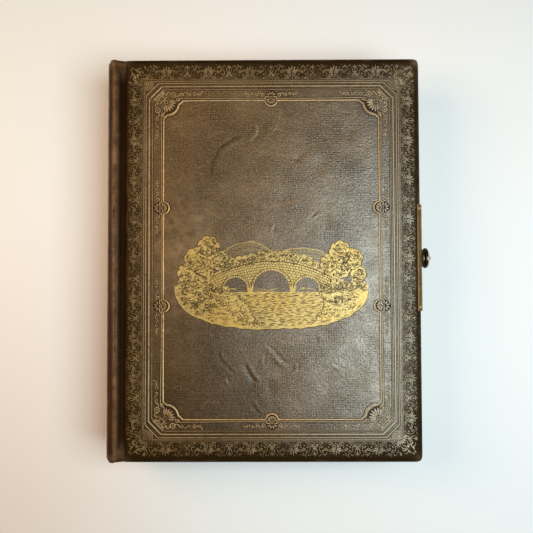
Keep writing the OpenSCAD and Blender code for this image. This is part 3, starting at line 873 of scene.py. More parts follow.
class Strokes:
    """Strokes and dabs that lie on a board, gathered into one mesh."""

    dab_outline: tuple[Point, ...] = ((0, 0), (0.28, 0.8), (0.6, 1.0), (0.88, 0.62), (1, 0), (0.88, -0.62),
                                      (0.6, -1.0), (0.28, -0.8))
    dab_crest: float = 0.55
    dab_sink: float = 0.02

    def __init__(self, height: Surface, shade: Surface | None = None, place: Place = plain) -> None:
        """Start with no strokes.

        Args:
            height: Height of the carrying surface at a point in plan.
            shade: Darkness at a point in plan, or None where all is alike.
            place: Puts a point in plan, where a call gives no other.
        """
        self.height = height
        self.shade = shade
        self.place = place
        self.verts: list[Spot] = []
        self.faces: list[Face] = []
        self.wear: list[float] = []
        self.tone: list[float] = []

    def point(self, x: float, y: float, lift: float, wear: float) -> int:
        """Add a point above the surface.

        Args:
            x: Place across.
            y: Place along.
            lift: Height over the surface.
            wear: Rubbing of the point; full rubbing on a crest is partly a painted highlight.

        Returns:
            Its number.
        """
        self.verts.append((x, y, self.height(x, y) + lift))
        self.wear.append(wear)
        self.tone.append(self.shade(x, y) if self.shade else 0.0)
        return len(self.verts) - 1

    def stroke(self, points: Run, half: float, rise: float, kind: Strip = Strip.RIDGE,
               closed: bool = False, taper: float = 0.0, place: Place | None = None) -> None:
        """Add one stroke.

        Args:
            points: Middle line in plan.
            half: Half the width.
            rise: Height of the crest over the surface.
            kind: Ridge with a crest, or flat strip.
            closed: True where the last point joins the first.
            taper: Share of the width lost at the ends.
            place: Puts a point in plan.
        """
        put = place or self.place
        p = np.array([put(*q) for q in points], float)
        n = len(p)
        ahead = np.roll(p, -1, 0) if closed else np.vstack([p[1:], p[-1:]])
        behind = np.roll(p, 1, 0) if closed else np.vstack([p[:1], p[:-1]])
        way = ahead - behind
        way /= np.maximum(np.linalg.norm(way, axis=1, keepdims=True), 1e-9)
        side = np.stack([-way[:, 1], way[:, 0]], 1)
        rows = []
        for k in range(n):
            end = 0 if closed else abs(2 * k / max(1, n - 1) - 1) ** 2.5
            w = half * (1 - taper * end)
            # Crests get full rubbing: partly real wear of raised work, partly a painted highlight.
            rows.append([self.point(*(p[k] + side[k] * w * across), share * rise - sink, wear)
                         for across, share, sink, wear in kind.value])
        for a, b in zip(rows, rows[1:] + rows[:1] if closed else rows[1:]):
            self.faces += [(a[q + 1], b[q + 1], b[q], a[q]) for q in range(len(a) - 1)]

    def fan(self, hub: int, ring: Sequence[int]) -> None:
        """Fill between a middle point and a run of points, faces up.

        Args:
            hub: Number of the middle point.
            ring: Numbers of the points round it, in either direction.
        """
        (ax, ay), (bx, by), (mx, my) = (self.verts[i][:2] for i in (ring[0], ring[1], hub))
        turned = (bx - ax) * (my - ay) - (by - ay) * (mx - ax) > 0
        self.faces += [(p, q, hub) if turned else (q, p, hub) for p, q in zip(ring, ring[1:])]

    def dab(self, x: float, y: float, angle: float, length: float, half: float, rise: float,
            place: Place | None = None) -> None:
        """Add a leaf-shaped dab.

        Args:
            x: Start, across.
            y: Start, along.
            angle: Direction in degrees.
            length: Length of the dab.
            half: Half its width.
            rise: Height of its crest.
            place: Puts a point in plan.
        """
        put = place or self.place
        c, s = math.cos(math.radians(angle)), math.sin(math.radians(angle))
        ring = []
        for u, v in self.dab_outline:
            q = put(x + c * u * length - s * v * half, y + s * u * length + c * v * half)
            ring.append(self.point(*q, -self.dab_sink, 0.2))
        u = self.dab_crest * length
        # The dab's crest point gets full rubbing, partly a painted highlight.
        self.fan(self.point(*put(x + c * u, y + s * u), rise, 1.0), ring + ring[:1])

    def petals(self, mid: Point, r: float, a0: float, a1: float, sizes: Sequence[float], half: float,
               rise: float, place: Place | None = None) -> None:
        """Fan out dabs from a circle, evenly from one angle to another.

        Args:
            mid: Middle of the circle.
            r: Its radius.
            a0: Angle of the first dab in degrees.
            a1: Angle of the last.
            sizes: Length of each dab.
            half: Half their width.
            rise: Height of their crests.
            place: Puts a point in plan.
        """
        for k, size in enumerate(sizes):
            a = a0 + (a1 - a0) * k / (len(sizes) - 1)
            self.dab(*polar(*mid, r, a), a, size, half, rise, place)

    def patch(self, mid: Point, rim: Run, lift: float, place: Place | None = None) -> None:
        """Fill a flat patch between a middle point and its rim.

        Args:
            mid: Middle point.
            rim: Points of the rim in order.
            lift: Height over the surface.
            place: Puts a point in plan.
        """
        put = place or self.place
        hub = self.point(*put(*mid), lift, 0.2)
        self.fan(hub, [self.point(*put(*p), lift, 0.2) for p in rim])

    def columns(self, rows: Sequence[Spot], lift: float, cuts: int = 5) -> None:
        """Fill between a lower and an upper line.

        Args:
            rows: Place across, lower line and upper line of each column.
            lift: Height over the surface.
            cuts: Faces in a column.
        """
        start = len(self.verts)
        for x, low, high in rows:
            for k in range(cuts + 1):
                self.point(*self.place(x, low + (high - low) * k / cuts), lift, 0.5)
        grid = grid_faces(cuts + 1, len(rows))
        self.faces += [(start + a, start + d, start + c, start + b) for a, b, c, d in grid]

    def piece(self, name: str, material: Material, mirror: float | None = None) -> Piece:
        """Make the piece, mirrored where it is the back cover's."""
        numbers = {"wear": self.wear, "tone": self.tone}
        return mesh_piece(name, self.verts, self.faces, material, numbers, mirror)


@dataclass
class CoverSkin:
    """Leather of one cover: grained outer face, rolled edges and turn-ins.

    A scuff has its place and radius, a pale patch its place, two spreads and strength; the pale patches are
    partly rubbing and partly painted glints.
    """

    board: Board
    side: Side
    step: float = 0.9
    turn_in: float = 9.0
    turn_in_rise: float = 0.5
    roll_steps: int = 8
    scuffs: tuple[Spot, ...] = ((106.7, 132, 2.6), (103.9, 137, 2.2), (99, 134.5, 1.8))
    wear_and_glint_patches: tuple[tuple[float, ...], ...] = (
        (-58, 4, 24, 52, 0.34), (-4, 22, 40, 46, 0.14), (101, 130, 9, 9, 0.3))

    def edge(self, at: float, way: int, r: float) -> list[Point]:
        """Wall and roll of one edge, from the inside face to the outside.

        Args:
            at: Place of the edge.
            way: 1 where the board lies towards larger numbers, otherwise -1.
            r: Radius of the roll.

        Returns:
            Place and drop below the outer face, in order.
        """
        thick = self.board.z_top - self.board.z_in
        steps = [(at, thick), (at + way * 0.05, (thick + r) / 2)]
        for k in range(self.roll_steps + 1):
            a = math.radians(90 * k / self.roll_steps)
            steps.append((at + way * (r - r * math.cos(a)), r - r * math.sin(a)))
        return steps

    def stations(self, low: float, low_r: float, high: float) -> list[Point]:
        """Places across the board, with a rolled edge at both ends.

        Args:
            low: Place of the first edge.
            low_r: Radius of its roll.
            high: Place of the second edge.

        Returns:
            Place and drop below the outer face, in order.
        """
        first, last = self.edge(low, 1, low_r), self.edge(high, -1, self.board.edge_r)[::-1]
        between = np.arange(first[-1][0], last[0][0], self.step)[1:]
        return first + [(float(v), 0.0) for v in between] + last

    def rounded(self, x: float, y: float) -> Point:
        """Bring a point of the square plan inside the round of a fore-edge corner.

        Args:
            x: Place across.
            y: Place along.

        Returns:
            The point, moved where it lay outside.
        """
        b = self.board
        cx, cy = b.x_fore - b.corner_r, b.half_h - b.corner_r
        ex, ey = x - cx, abs(y) - cy
        if ex <= 0 or ey <= 0 or math.hypot(ex, ey) <= b.corner_r:
            return x, y
        k = b.corner_r / math.hypot(ex, ey)
        return cx + ex * k, math.copysign(cy + ey * k, y)

    def wear_and_highlight_at(self, x: float, y: float, drop: float) -> float:
        """Tell how far the leather is rubbed, with painted highlights along some creases and a painted
        glint on the field.

        Args:
            x: Place across.
            y: Place along.
            drop: Depth of the point below the outer face.

        Returns:
            Rubbing from 0 to 1.
        """
        b = self.board
        rim = smooth(0.1, 0.7, drop) * (1 - smooth(0.9, 2.2, drop)) * 0.5 * max(0.0, ripple(x, y, 10, 2.0))
        corner = math.hypot(b.x_fore - x, b.half_h - abs(y))
        rim = max(rim, (0.75 if y > 0 else 0.3) * (1 - smooth(2.5, 11, corner)))
        hinge = 0.4 * (1 - smooth(1, 9, math.hypot(x - b.x_near, b.half_h - abs(y))))
        # Painted highlight along some creases.
        pale = max((c.rub_and_highlight * c.mark(x, y) for c in CREASES if c.rub_and_highlight), default=0.0)
        # Pale patches: rubbing, and the broad one on the left of the field a painted glint.
        for at_x, at_y, wide, tall, strength in self.wear_and_glint_patches:
            pale = max(pale, strength * math.exp(-((x - at_x) / wide) ** 2 - ((y - at_y) / tall) ** 2))
        for at_x, at_y, r in self.scuffs:
            pale = max(pale, 0.9 * (1 - smooth(0.3, 1.0, math.hypot(x - at_x, y - at_y) / r)))
        return min(1.0, max(rim, pale, hinge))

    def tone_at(self, x: float, y: float, drop: float) -> float:
        """Tell how dark the leather is: edges partly burnished and partly painted shade of their roll, the
        band's ground with painted shade between its ridges, painted shade in creases and a painted shadow
        towards the lower left.

        Args:
            x: Place across.
            y: Place along.
            drop: Depth of the point below the outer face.

        Returns:
            Darkness from 0 to 1.
        """
        b = self.board
        out = max(abs(x - b.field_x) - b.field_hx, abs(y) - b.field_hy)
        # The band's ground: partly its own darker pressed colour, partly painted shade between the ridges,
        # deeper outwards, to the right and towards the tail.
        ground = 0.67 + 0.05 * smooth(-60, 60, x) + 0.14 * smooth(16, 27, out) + 0.08 * smooth(90, 125, -y)
        ground *= smooth(b.band_out - 0.8, b.band_out + 0.4, out)
        # Edges darker partly from burnishing and dirt, partly as painted shade of the roll; lit takes off a
        # painted highlight along the fore edge's roll, stronger towards the head.
        from_fore = b.x_fore - x
        lit = 0.58 * smooth(-120, 40, y) * (1 - smooth(2.2, 3.4, from_fore))
        fore = 0.9 * (1 - smooth(4.0, 7.4, from_fore)) - lit
        tail = 0.93 * (1 - smooth(3.5, 9.5, b.half_h + y))
        head = 0.93 * (1 - smooth(2.6, 6.5, b.half_h - y))
        # Painted shade where the board's edge rolls down into the joint groove.
        near = 0.72 * (1 - smooth(0.8, 7.0, x - b.x_near))
        # Painted shadow darkening the leather towards the lower left corner.
        painted_shadow = 0.30 * smooth(15, 135, -0.6 * x - y)
        # Painted shade in a crease.
        crease_shade = max((c.dark * c.mark(x, y) for c in CREASES if c.dark), default=0.0)
        rubbed = 1 - 0.8 * self.wear_and_highlight_at(x, y, drop)
        return min(0.97, max(ground, fore, tail, head, near, crease_shade, painted_shadow) * rubbed)

    def build(self, material: Material, body: str) -> Piece:
        """Make the skin and let it ride.

        Args:
            material: Leather finish.
            body: Body that carries the cover.

        Returns:
            The skin.
        """
        b = self.board
        xs = self.stations(b.x_near, b.near_r, b.x_fore)
        ys = self.stations(-b.half_h, b.edge_r, b.half_h)
        verts, wear, tone = [], [], []
        for y0, dy in ys:
            for x0, dx in xs:
                drop = min(b.z_top - b.z_in, (dx ** 3 + dy ** 3) ** (1 / 3))
                x, y = self.rounded(x0, y0)
                lift = b.wave(x, y) if drop < b.edge_r else 0.0
                verts.append((x, y, b.z_top - drop + lift))
                wear.append(self.wear_and_highlight_at(x, y, drop))
                tone.append(self.tone_at(x, y, drop))
        faces = grid_faces(len(xs), len(ys))
        rim = outer = grid_rim(len(xs), len(ys))
        for lift in (0.0, self.turn_in_rise):
            inner = range(len(verts), len(verts) + len(rim))
            for i in rim:
                x = min(max(verts[i][0], b.x_near + self.turn_in), b.x_fore - self.turn_in)
                y = min(max(verts[i][1], -b.half_h + self.turn_in), b.half_h - self.turn_in)
                verts.append((x, y, b.z_in + lift))
            wear += [0.1] * len(rim)
            tone += [0.0] * len(rim)
            faces += wall(outer, inner)
            outer = inner
        numbers = {"wear": wear, "tone": tone}
        mirror = b.both if self.side is Side.BACK else None
        name = self.side.value
        skin = mesh_piece(f"{name}_cover_skin", verts, faces, material, numbers, mirror, weld=True)
        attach(skin, body)
        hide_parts(f"{name}_leather")
        return skin


@dataclass
class SpineSkin:
    """Leather over the rounded spine and down into both joint grooves.

    The two joint lines give the groove's section from the spine's axis: deep along the
    groove, and nearly full at head and tail.
    """

    board: Board
    x_axis: float = -106.5
    r: float = 6.5
    inner_r: float = 4.6
    rows: int = 150
    quarter_steps: int = 12
    flat_steps: int = 14
    joint_thick: float = 0.7
    joint_inset: float = 0.6
    joint_deep: tuple[Point, ...] = (
        (-1.2, 6.30), (0.0, 6.42), (1.0, 6.38), (1.8, 6.12), (2.4, 5.65), (2.9, 5.0), (3.35, 4.3),
        (3.8, 3.65), (4.35, 3.1), (5.0, 2.75), (5.7, 2.65), (6.4, 2.75), (7.15, 3.0))
    joint_full: tuple[Point, ...] = (
        (-1.2, 6.30), (0.0, 6.42), (0.9, 6.4), (1.6, 6.25), (2.15, 6.05), (2.6, 5.85), (3.1, 5.65),
        (3.8, 5.4), (4.6, 5.2), (5.4, 5.0), (6.2, 4.8), (7.0, 4.6), (7.8, 4.3))
    bend: Point = (2.0, 6.7)

    def loft(self, name: str, rings: list[list[Spot]], material: Material, wear: list[float],
             tone: list[float]) -> Piece:
        """Join closed rings along Y into one closed skin.

        Args:
            name: Name of the piece.
            rings: Points of each ring, all of one count.
            material: Its finish.
            wear: Rubbing of each point, with a painted highlight along the crest.
            tone: Darkness of each point.

        Returns:
            The skin.
        """
        n = len(rings[0])
        last = (len(rings) - 1) * n
        faces: list[Face] = []
        for start in range(0, last, n):
            faces += wall(range(start, start + n), range(start + n, start + 2 * n))
        for i in range(n // 2 - 1):
            faces.append((i, i + 1, n - 2 - i, n - 1 - i))
            faces.append((last + n - 1 - i, last + n - 2 - i, last + i + 1, last + i))
        verts = [p for ring in rings for p in ring]
        return mesh_piece(name, verts, faces, material, {"wear": wear, "tone": tone})

    def stations(self) -> list[float]:
        """Places along Y, closer together at head and tail."""
        h = self.board.half_h
        return [h * math.sin(math.pi / 2 * (2 * k / self.rows - 1)) for k in range(self.rows + 1)]

    def section(self, q: float, y: float) -> list[Spot]:
        """Line round the back at one place, from the lower joint to the upper.

        Args:
            q: Radius of its two quarter rounds.
            y: Place along the spine.

        Returns:
            The points in order.
        """
        low, high = self.board.z_top - self.board.z_in, self.board.z_in
        lower = arc(self.x_axis, low, q, -90, -180, self.quarter_steps)
        upper = arc(self.x_axis, high, q, 180, 90, self.quarter_steps)
        flat = []
        for k in range(1, self.flat_steps):
            z = low + (high - low) * k / self.flat_steps
            sag = 0.35 * math.sin(math.pi * k / self.flat_steps) + 0.12 * ripple(y, z, 12, 6.0)
            flat.append((self.x_axis - q + max(0.0, sag) * 0.5, z))
        return [(x, y, z) for x, z in lower + flat + upper]

    def build(self, material: Material) -> Piece:
        """Make the rounded back.

        Args:
            material: Leather finish.

        Returns:
            The skin, riding on the base.
        """
        rings, wear, tone = [], [], []
        for y in self.stations():
            end = self.board.half_h - abs(y)
            tuck = 1.6 * (1 - smooth(0, 3.2, end)) + 0.25 * ripple(y, 3.0, 9, 4.0)
            outer = self.section(self.r - max(0.0, tuck) * 0.8, y)
            rings.append(outer[::-1] + self.section(self.inner_r, y))
            rub_and_highlight = 0.6 * (1 - smooth(1, 9, end))
            tail = 1 - smooth(-115, 35, y)
            for x, _, z in rings[-1]:
                # Painted highlight along the spine's crest, stored with the rubbing.
                crest = 0.7 * math.exp(-((x - self.x_axis + 0.2) / (1.4 - 0.65 * tail)) ** 2)
                wear.append(min(1.0, max(rub_and_highlight, crest * (0.7 + 0.45 * ripple(y, z, 7, 5.0)))))
                tone.append(0.35 * tail)
        skin = self.loft("spine_skin", rings, material, wear, tone)
        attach(skin, "album_base")
        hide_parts("spine_leather")
        return skin

    def joint(self, side: Side, material: Material) -> Piece:
        """Make the leather of one joint groove.

        Args:
            side: Front or back groove.
            material: Leather finish.

        Returns:
            The skin; the back one rides on the base, the front one is left unattached.
        """
        b = self.board
        deep, full = np.array(self.joint_deep), np.array(self.joint_full)
        rings, wear, tone = [], [], []
        for y in self.stations():
            y *= (b.half_h - self.joint_inset) / b.half_h
            end = b.half_h - abs(y)
            tuck = 1.2 * (1 - smooth(0, 3, end))
            over = deep + (full - deep) * (0.95 * (1 - smooth(5, 19, end))) - (0, tuck)
            way = np.gradient(over, axis=0)
            way /= np.linalg.norm(way, axis=1, keepdims=True)
            under = over + np.stack([way[:, 1], -way[:, 0]], 1) * self.joint_thick
            ring = [(self.x_axis + x, y, b.z_in + z) for x, z in over.tolist()]
            ring += [(self.x_axis + x, y, b.z_in + max(z, 0.05)) for x, z in under[::-1].tolist()]
            rings.append(ring[::-1])
            for x, _, z in rings[-1]:
                u = x - self.x_axis
                ends = 0.4 * (1 - smooth(2, 12, end)) * (0.4 + 0.9 * abs(ripple(x, y, 3, 8.0)))
                # Painted highlight along the bead's crest, stored with the rubbing.
                crest = 0.5 * math.exp(-((u - 0.2) / 1.5) ** 2)
                wear.append(max(ends, crest * (0.6 + 0.8 * ripple(y, z, 7, 5.0))))
                # Painted shade down in the groove, fading where it closes at head and tail.
                tone.append(max(0.8 * smooth(1.8, 4.0, u) * smooth(4, 18, end), 0.3 * smooth(2.5, 6.5, u)))
        skin = self.loft(f"{side.value}_joint_skin", rings, material, wear, tone)
        if side is Side.BACK:
            to_back(skin.data, b.both)
            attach(skin, "album_base")
        else:
            start, stop = (((self.x_axis + u) * MM, 0, b.z_in * MM) for u in self.bend)
            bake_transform(skin)
            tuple(start)
            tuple(stop)
        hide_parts(f"{side.value}_joint")
        return skin


@dataclass
class ScrollBand:
    """Blind-stamped scroll border: one repeat, laid along the edges by a node tree.

    In the lists a run is a scroll of half a repeat, and a leaf has its place, angle and length.
    """

    board: Board
    repeat: float = 28.0
    corner_gap: float = 2.0
    thin: float = 0.2
    rise: float = 0.3
    seed: int = 5
    loose_leaves: int = 34
    runs: tuple[Run, ...] = (
        arc(4.6, 3.9, 3.1, 252, 15, 16), arc(4.6, 3.9, 2.2, 240, 5, 12),
        arc(6.9, 5.5, 1.3, 200, -170, 12, 0.4), arc(3.9, 1.5, 1.15, 60, -270, 12, 0.4),
        ((8.0, 1.1), (9.7, 2.0), (10.8, 3.6), (11.0, 5.5), (10.3, 7.3), (8.9, 8.2), (7.9, 7.6), (8.4, 6.8)),
        ((8.6, 0.7), (10.8, 1.3), (12.2, 2.9), (12.4, 4.6)), ((11.6, 8.9), (12.6, 7.4), (12.5, 5.9)),
        ((0, 0.35), (11.6, 0.35), (13.0, 0.65), (13.6, 1.1), (14.0, 1.6)))
    leaves: tuple[tuple[float, ...], ...] = (
        (8.4, 3.2, 48, 2.2), (9.3, 5.9, 118, 1.7), (5.9, 7.8, 64, 2.2), (7.6, 9.0, 88, 1.9),
        (9.9, 9.0, 58, 1.8), (11.7, 2.0, 15, 1.6), (2.3, 0.9, 80, 1.3), (4.6, 3.4, 70, 1.5),
        (2.2, 6.6, 120, 1.5), (13.3, 2.4, 140, 1.9))

    def motif(self, strokes: Strokes) -> None:
        """Draw one repeat, u along the edge and v from its inner to its outer side.

        Args:
            strokes: Takes the strokes.
        """
        rise, end = self.rise, self.repeat / 2
        for s in (-1, 1):
            def turn(u: float, v: float, s: int = s) -> Point:
                """Mirror the half repeat."""
                return (s * u, v)
            for run in self.runs:
                strokes.stroke(run, self.thin, rise, taper=0.35, place=turn)
            for u, v, a, size in self.leaves:
                strokes.dab(u, v, a, size, 0.3, rise, turn)
            for k, size in ((1, 4.9), (2, 4.2), (3, 3.0)):
                strokes.dab(0.25, 5.3 - 0.2 * k, 90 - 26 * k, size, 0.32, rise, turn)
        strokes.dab(0, 5.6, 90, 5.2, 0.36, rise)
        strokes.petals((0, 2.9), 0.5, 0, 288, [1.2] * 5, 0.4, rise)
        strokes.stroke([(end, 1.6), (end, 8.4)], self.thin, rise)
        strokes.petals((end, 4.7), 0, 45, 315, [1.9] * 4, 0.4, 0.34)
        for a, size in ((90, 2.7), (48, 2.2), (132, 2.2)):
            strokes.dab(end, 8.2, a, size, 0.36, rise)
        loose = random.Random(self.seed)
        for _ in range(self.loose_leaves):
            u, v = loose.uniform(-13.5, 13.5), loose.uniform(1.0, 10.4)
            strokes.dab(u, v, loose.uniform(0, 360), loose.uniform(0.9, 1.6), 0.24, 0.28)

    def tree(self) -> bpy.types.NodeTree:
        """Node tree that puts the repeat on marked points.

        Returns:
            The tree, with inputs Motif and Finish.
        """
        tree = bpy.data.node_groups.new("scroll_repeat", "GeometryNodeTree")
        for name, way, kind in (("Geometry", "INPUT", "Geometry"), ("Motif", "INPUT", "Object"),
                                ("Finish", "INPUT", "Material"), ("Geometry", "OUTPUT", "Geometry")):
            tree.interface.new_socket(name, in_out=way, socket_type=f"NodeSocket{kind}")
        add = tree.nodes.new
        start, end = add("NodeGroupInput"), add("NodeGroupOutput")
        info, on = add("GeometryNodeObjectInfo"), add("GeometryNodeInstanceOnPoints")
        real, dress = add("GeometryNodeRealizeInstances"), add("GeometryNodeSetMaterial")
        turn, size = add("GeometryNodeInputNamedAttribute"), add("GeometryNodeInputNamedAttribute")
        spin, grow = add("ShaderNodeCombineXYZ"), add("ShaderNodeCombineXYZ")
        for node, name in ((turn, "turn"), (size, "stretch")):
            node.data_type = "FLOAT"
            node.inputs["Name"].default_value = name
        for axis in "YZ":
            grow.inputs[axis].default_value = 1.0
        for source, out, target, into in (
                (start, "Geometry", on, "Points"), (start, "Motif", info, "Object"),
                (info, "Geometry", on, "Instance"), (turn, "Attribute", spin, "Z"),
                (size, "Attribute", grow, "X"), (spin, "Vector", on, "Rotation"),
                (grow, "Vector", on, "Scale"), (on, "Instances", real, "Geometry"),
                (real, "Geometry", dress, "Geometry"), (start, "Finish", dress, "Material"),
                (dress, "Geometry", end, "Geometry")):
            tree.links.new(source.outputs[out], target.inputs[into])
        return tree

    def marks(self) -> tuple[list[Spot], list[float], list[float]]:
        """Work out where the repeats go.

        Returns:
            Places, turns in radians and stretches of all repeats.
        """
        b = self.board
        hx, hy = b.field_hx + b.band_out, b.field_hy + b.band_out
        spots, turns, sizes = [], [], []
        for half, across, base in ((hx - self.corner_gap, hy, 0.0), (hy - self.corner_gap, hx, 90.0)):
            n = round(2 * half / self.repeat)
            for k in range(n):
                along = -half + (k + 0.5) * 2 * half / n
                for half_turn in (0, 180):
                    a = math.radians(base + half_turn)
                    c, s = math.cos(a), math.sin(a)
                    spots.append((b.field_x + along * c - across * s, along * s + across * c, 0.0))
                    turns.append(a)
                    sizes.append(2 * half / n / self.repeat)
        return spots, turns, sizes

    def build(self, side: Side, material: Material, body: str) -> Piece:
        """Lay the border on one cover.

        Args:
            side: Which cover.
            material: Finish of the ridges.
            body: Body that carries the cover.

        Returns:
            The border as one plain mesh.
        """
        flat = Strokes(lambda x, y: 0.0)
        self.motif(flat)
        motif = flat.piece("scroll_motif", material)
        spots, turns, sizes = self.marks()
        marks = mesh_piece("scroll_marks", spots, [], material, {"turn": turns, "stretch": sizes})
        tree = self.tree()
        made = marks.modifiers.new("scrolls", "NODES")
        made.node_group = tree
        given = {"Motif": motif, "Finish": material}
        for item in tree.interface.items_tree:
            if item.in_out == "INPUT" and item.name in given:
                made[item.identifier] = given[item.name]
        bpy.context.view_layer.update()
        shown = marks.evaluated_get(bpy.context.evaluated_depsgraph_get())
        mesh = bpy.data.meshes.new_from_object(shown)
        marks.modifiers.clear()
        for helper in (marks, motif):
            bpy.data.objects.remove(helper)
        mesh.name = f"{side.value}_scroll_band"
        shades = mesh.attributes["tone"].data
        for v in mesh.vertices:
            x, y = v.co.x / MM, v.co.y / MM
            v.co.z += self.board.top(x, y) * MM
            shades[v.index].value = self.board.shade(x, y)
        if side is Side.BACK:
            to_back(mesh, self.board.both)
        band = bpy.data.objects.new(mesh.name, mesh)
        bpy.context.scene.collection.objects.link(band)
        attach(band, body)
        return band


@dataclass
class Outlined:
    """Raised strokes with a dark strip round them: partly real burnish of the tool, partly painted shade at
    the foot of the ridge.
    """

    top: Strokes
    under: Strokes
    margin: float = 0.34
    pressed_shade: float = 0.03
    scroll_rise: float = 0.32
    scroll_taper: float = 0.3

    def stroke(self, points: Run, half: float, rise: float, place: Place, closed: bool = False,
               taper: float = 0.0) -> None:
        """Add a ridge and the wider dark strip below it."""
        self.under.stroke(points, half + self.margin, self.pressed_shade, Strip.FLAT, closed, taper * 0.5, place)
        self.top.stroke(points, half, rise, Strip.RIDGE, closed, taper, place)

    def scroll(self, points: Run, place: Place, half: float = 0.4) -> None:
        """Add a scroll, thinner at its ends."""
        self.stroke(points, half, self.scroll_rise, place, taper=self.scroll_taper)

    def ring(self, x: float, y: float, r: float, n: int, place: Place, half: float,
             rise: float = 0.32) -> None:
        """Add a ring of n + 1 points."""
        self.stroke(arc(x, y, r, 0, 330, n), half, rise, place, closed=True)


@dataclass
class Tooling:
    """Rules, shells, roundels and running scrolls of one cover's frame.

    A rule has its distance outside the gilt line and half its width, a boss's leaf its place
    and angle.
    """

    board: Board
    rules: tuple[Point, ...] = ((12.7, 0.38), (10.35, 0.55), (8.0, 0.26))
    rule_edge: float = 0.22
    side_roundels: Point = (36.6, -33.7)
    cut: float = 9.0
    weak_out: float = 14.2
    boss_out: float = 12.5
    boss_bow: float = 5.2
    boss_leaves: tuple[Spot, ...] = (
        (13.4, 10.4, 50), (14.6, 13.0, 60), (5.2, 14.6, 110), (9.6, 9.2, 45), (15.0, 5.0, 10))
    corner_out: float = 8.6
    shell: Point = (1.6, -1.0)
    dark_lift: float = 0.035

    def cut_frame(self, out: float) -> list[Point]:
        """Closed frame with cut corners, at a distance outside the gilt line."""
        hx, hy, c = self.board.field_hx + out, self.board.field_hy + out, self.cut
        return self.closed_round([(c - hx, -hy), (hx - c, -hy), (hx, c - hy), (hx, hy - c), (hx - c, hy),
                                  (c - hx, hy), (-hx, hy - c), (-hx, c - hy)], 6.0)

    def closed_round(self, points: Run, step: float = 5.0) -> list[Point]:
        """Close a line round the design's middle and cut it into steps."""
        return line(*[(x + self.board.field_x, y) for x, y in (*points, points[0])], step=step)[:-1]

    def bowed_frame(self, out: float) -> list[Point]:
        """Closed frame whose corners bow in round the bosses of the band.

        Args:
            out: Distance outside the gilt line.

        Returns:
            Closed line, clockwise from the left.
        """
        hx, hy = self.board.field_hx + out, self.board.field_hy + out
        reach = out - self.boss_out
        corner = arc(-hx + reach, hy - reach, self.boss_bow + self.weak_out - out, -109, 19, 10)
        top = corner + [(-x, y) for x, y in corner[::-1]]
        return self.closed_round(top + [(x, -y) for x, y in top[::-1]])

    def field_line(self, out: float) -> list[Point]:
        """Line round the field that bulges at the shells and roundels.

        Args:
            out: Distance outside the gilt line.

        Returns:
            Closed line, clockwise from the top left.
        """
        hx, hy = self.board.field_hx + out, self.board.field_hy + out
        bulge, bulge_r = 0.2 - out * 0.4, 4.3 - out * 0.6
        corner = [(-hx, hy - 12.6), (-hx + 0.9, hy - 12.2), (-hx + 2.6, hy - 10.4)]
        corner += arc(-hx + 2.2, hy - 1.9, 8.6 - out, -84, -6, 9)
        corner += [(-hx + 12.2, hy - 1.9), (-hx + 13.4, hy - 0.7), (-hx + 13.9, hy)]
        top = corner + arc(0, hy + bulge, bulge_r, 183, 357, 12) + [(-x, y) for x, y in corner[::-1]]
        right: list[Point] = []
        for y in self.side_roundels:
            right += arc(hx + bulge, y, bulge_r, 93, 267, 12)
        foot = [(x, -y) for x, y in top[::-1]]
        return self.closed_round(top + right + foot + [(-x, y) for x, y in right[::-1]])

    def corner_shell(self, s: Outlined, place: Place) -> None:
        """Draw one corner's shell with petals, volutes, lattice and running scrolls.

        Args:
            s: Takes the strokes.
            place: Puts a point, given with the field to the lower right, in its corner.
        """
        # Dark patch under the shell: partly pressed ground, partly painted shade between its petals.
        s.under.patch(self.shell, arc(*self.shell, 8.6, -106, 16, 16), s.pressed_shade, place)
        s.top.petals(self.shell, 1.5, 12, -102, [5.0] + [6.3] * 5 + [5.0], 0.58, 0.4, place)
        s.ring(*self.shell, 1.3, 8, place, 0.3)
        for swap in (False, True):
            def put(u: float, v: float, swap: bool = swap) -> Point:
                """Mirror across the corner's diagonal."""
                return place(-v, -u) if swap else place(u, v)
            s.scroll(arc(10.4, 0.5, 1.5, 200, -130, 12, 0.5), put, 0.36)
            s.ring(6.9, 4.3, 1.75, 12, put, 0.4)
            s.top.dab(6.2, 4.3, 0, 1.4, 0.7, 0.34, put)
            s.scroll(arc(3.2, 5.0, 1.6, -40, 260, 12, 0.6), put)
            s.scroll([(8.4, 3.6), (9.8, 3.0), (11.2, 3.7), (12.0, 5.0), (13.2, 5.5), (14.3, 4.8),
                      (13.9, 3.8), (12.9, 3.9)], put)
            s.scroll([(14.6, 5.6), (16.0, 5.9), (17.4, 5.0), (18.2, 3.9), (19.3, 4.2), (19.4, 5.2),
                      (18.6, 5.5)], put)
            s.ring(22.4, 4.7, 1.1, 8, put, 0.36)
            s.top.dab(23.8, 4.7, 0, 2.2, 0.6, 0.34, put)
            s.stroke([(26.2, 4.0), (27.2, 5.6), (28.2, 7.0)], 0.34, 0.3, put)
            s.top.dab(1.2, 3.4, 60, 2.0, 0.6, 0.34, put)
            s.scroll(arc(-0.3, 2.4, 1.05, -60, 240, 10, 0.4), put, 0.34)
            s.top.dab(-0.4, 4.4, 100, 1.8, 0.55, 0.34, put)
        s.stroke([(-2.8, -2.4), (2.4, 2.8)], 0.34, 0.32, place)
        s.stroke([(-7.4, 0.6), (0.0, 8.0)], 0.36, 0.32, place)
        s.stroke([(-5.4, -0.6), (1.2, 6.0)], 0.36, 0.32, place)
        for k in range(6):
            d = 1.1 * k
            s.stroke([(-6.2 + d, 0.6 + d), (-5.0 + d, 0.2 + d)], 0.3, 0.3, place)

    def roundel(self, s: Outlined, place: Place) -> None:
        """Draw a fan and flower with scrolls and bars along the strip.

        Args:
            s: Takes the strokes.
            place: Puts a point, given along the strip and outwards, in plan.
        """
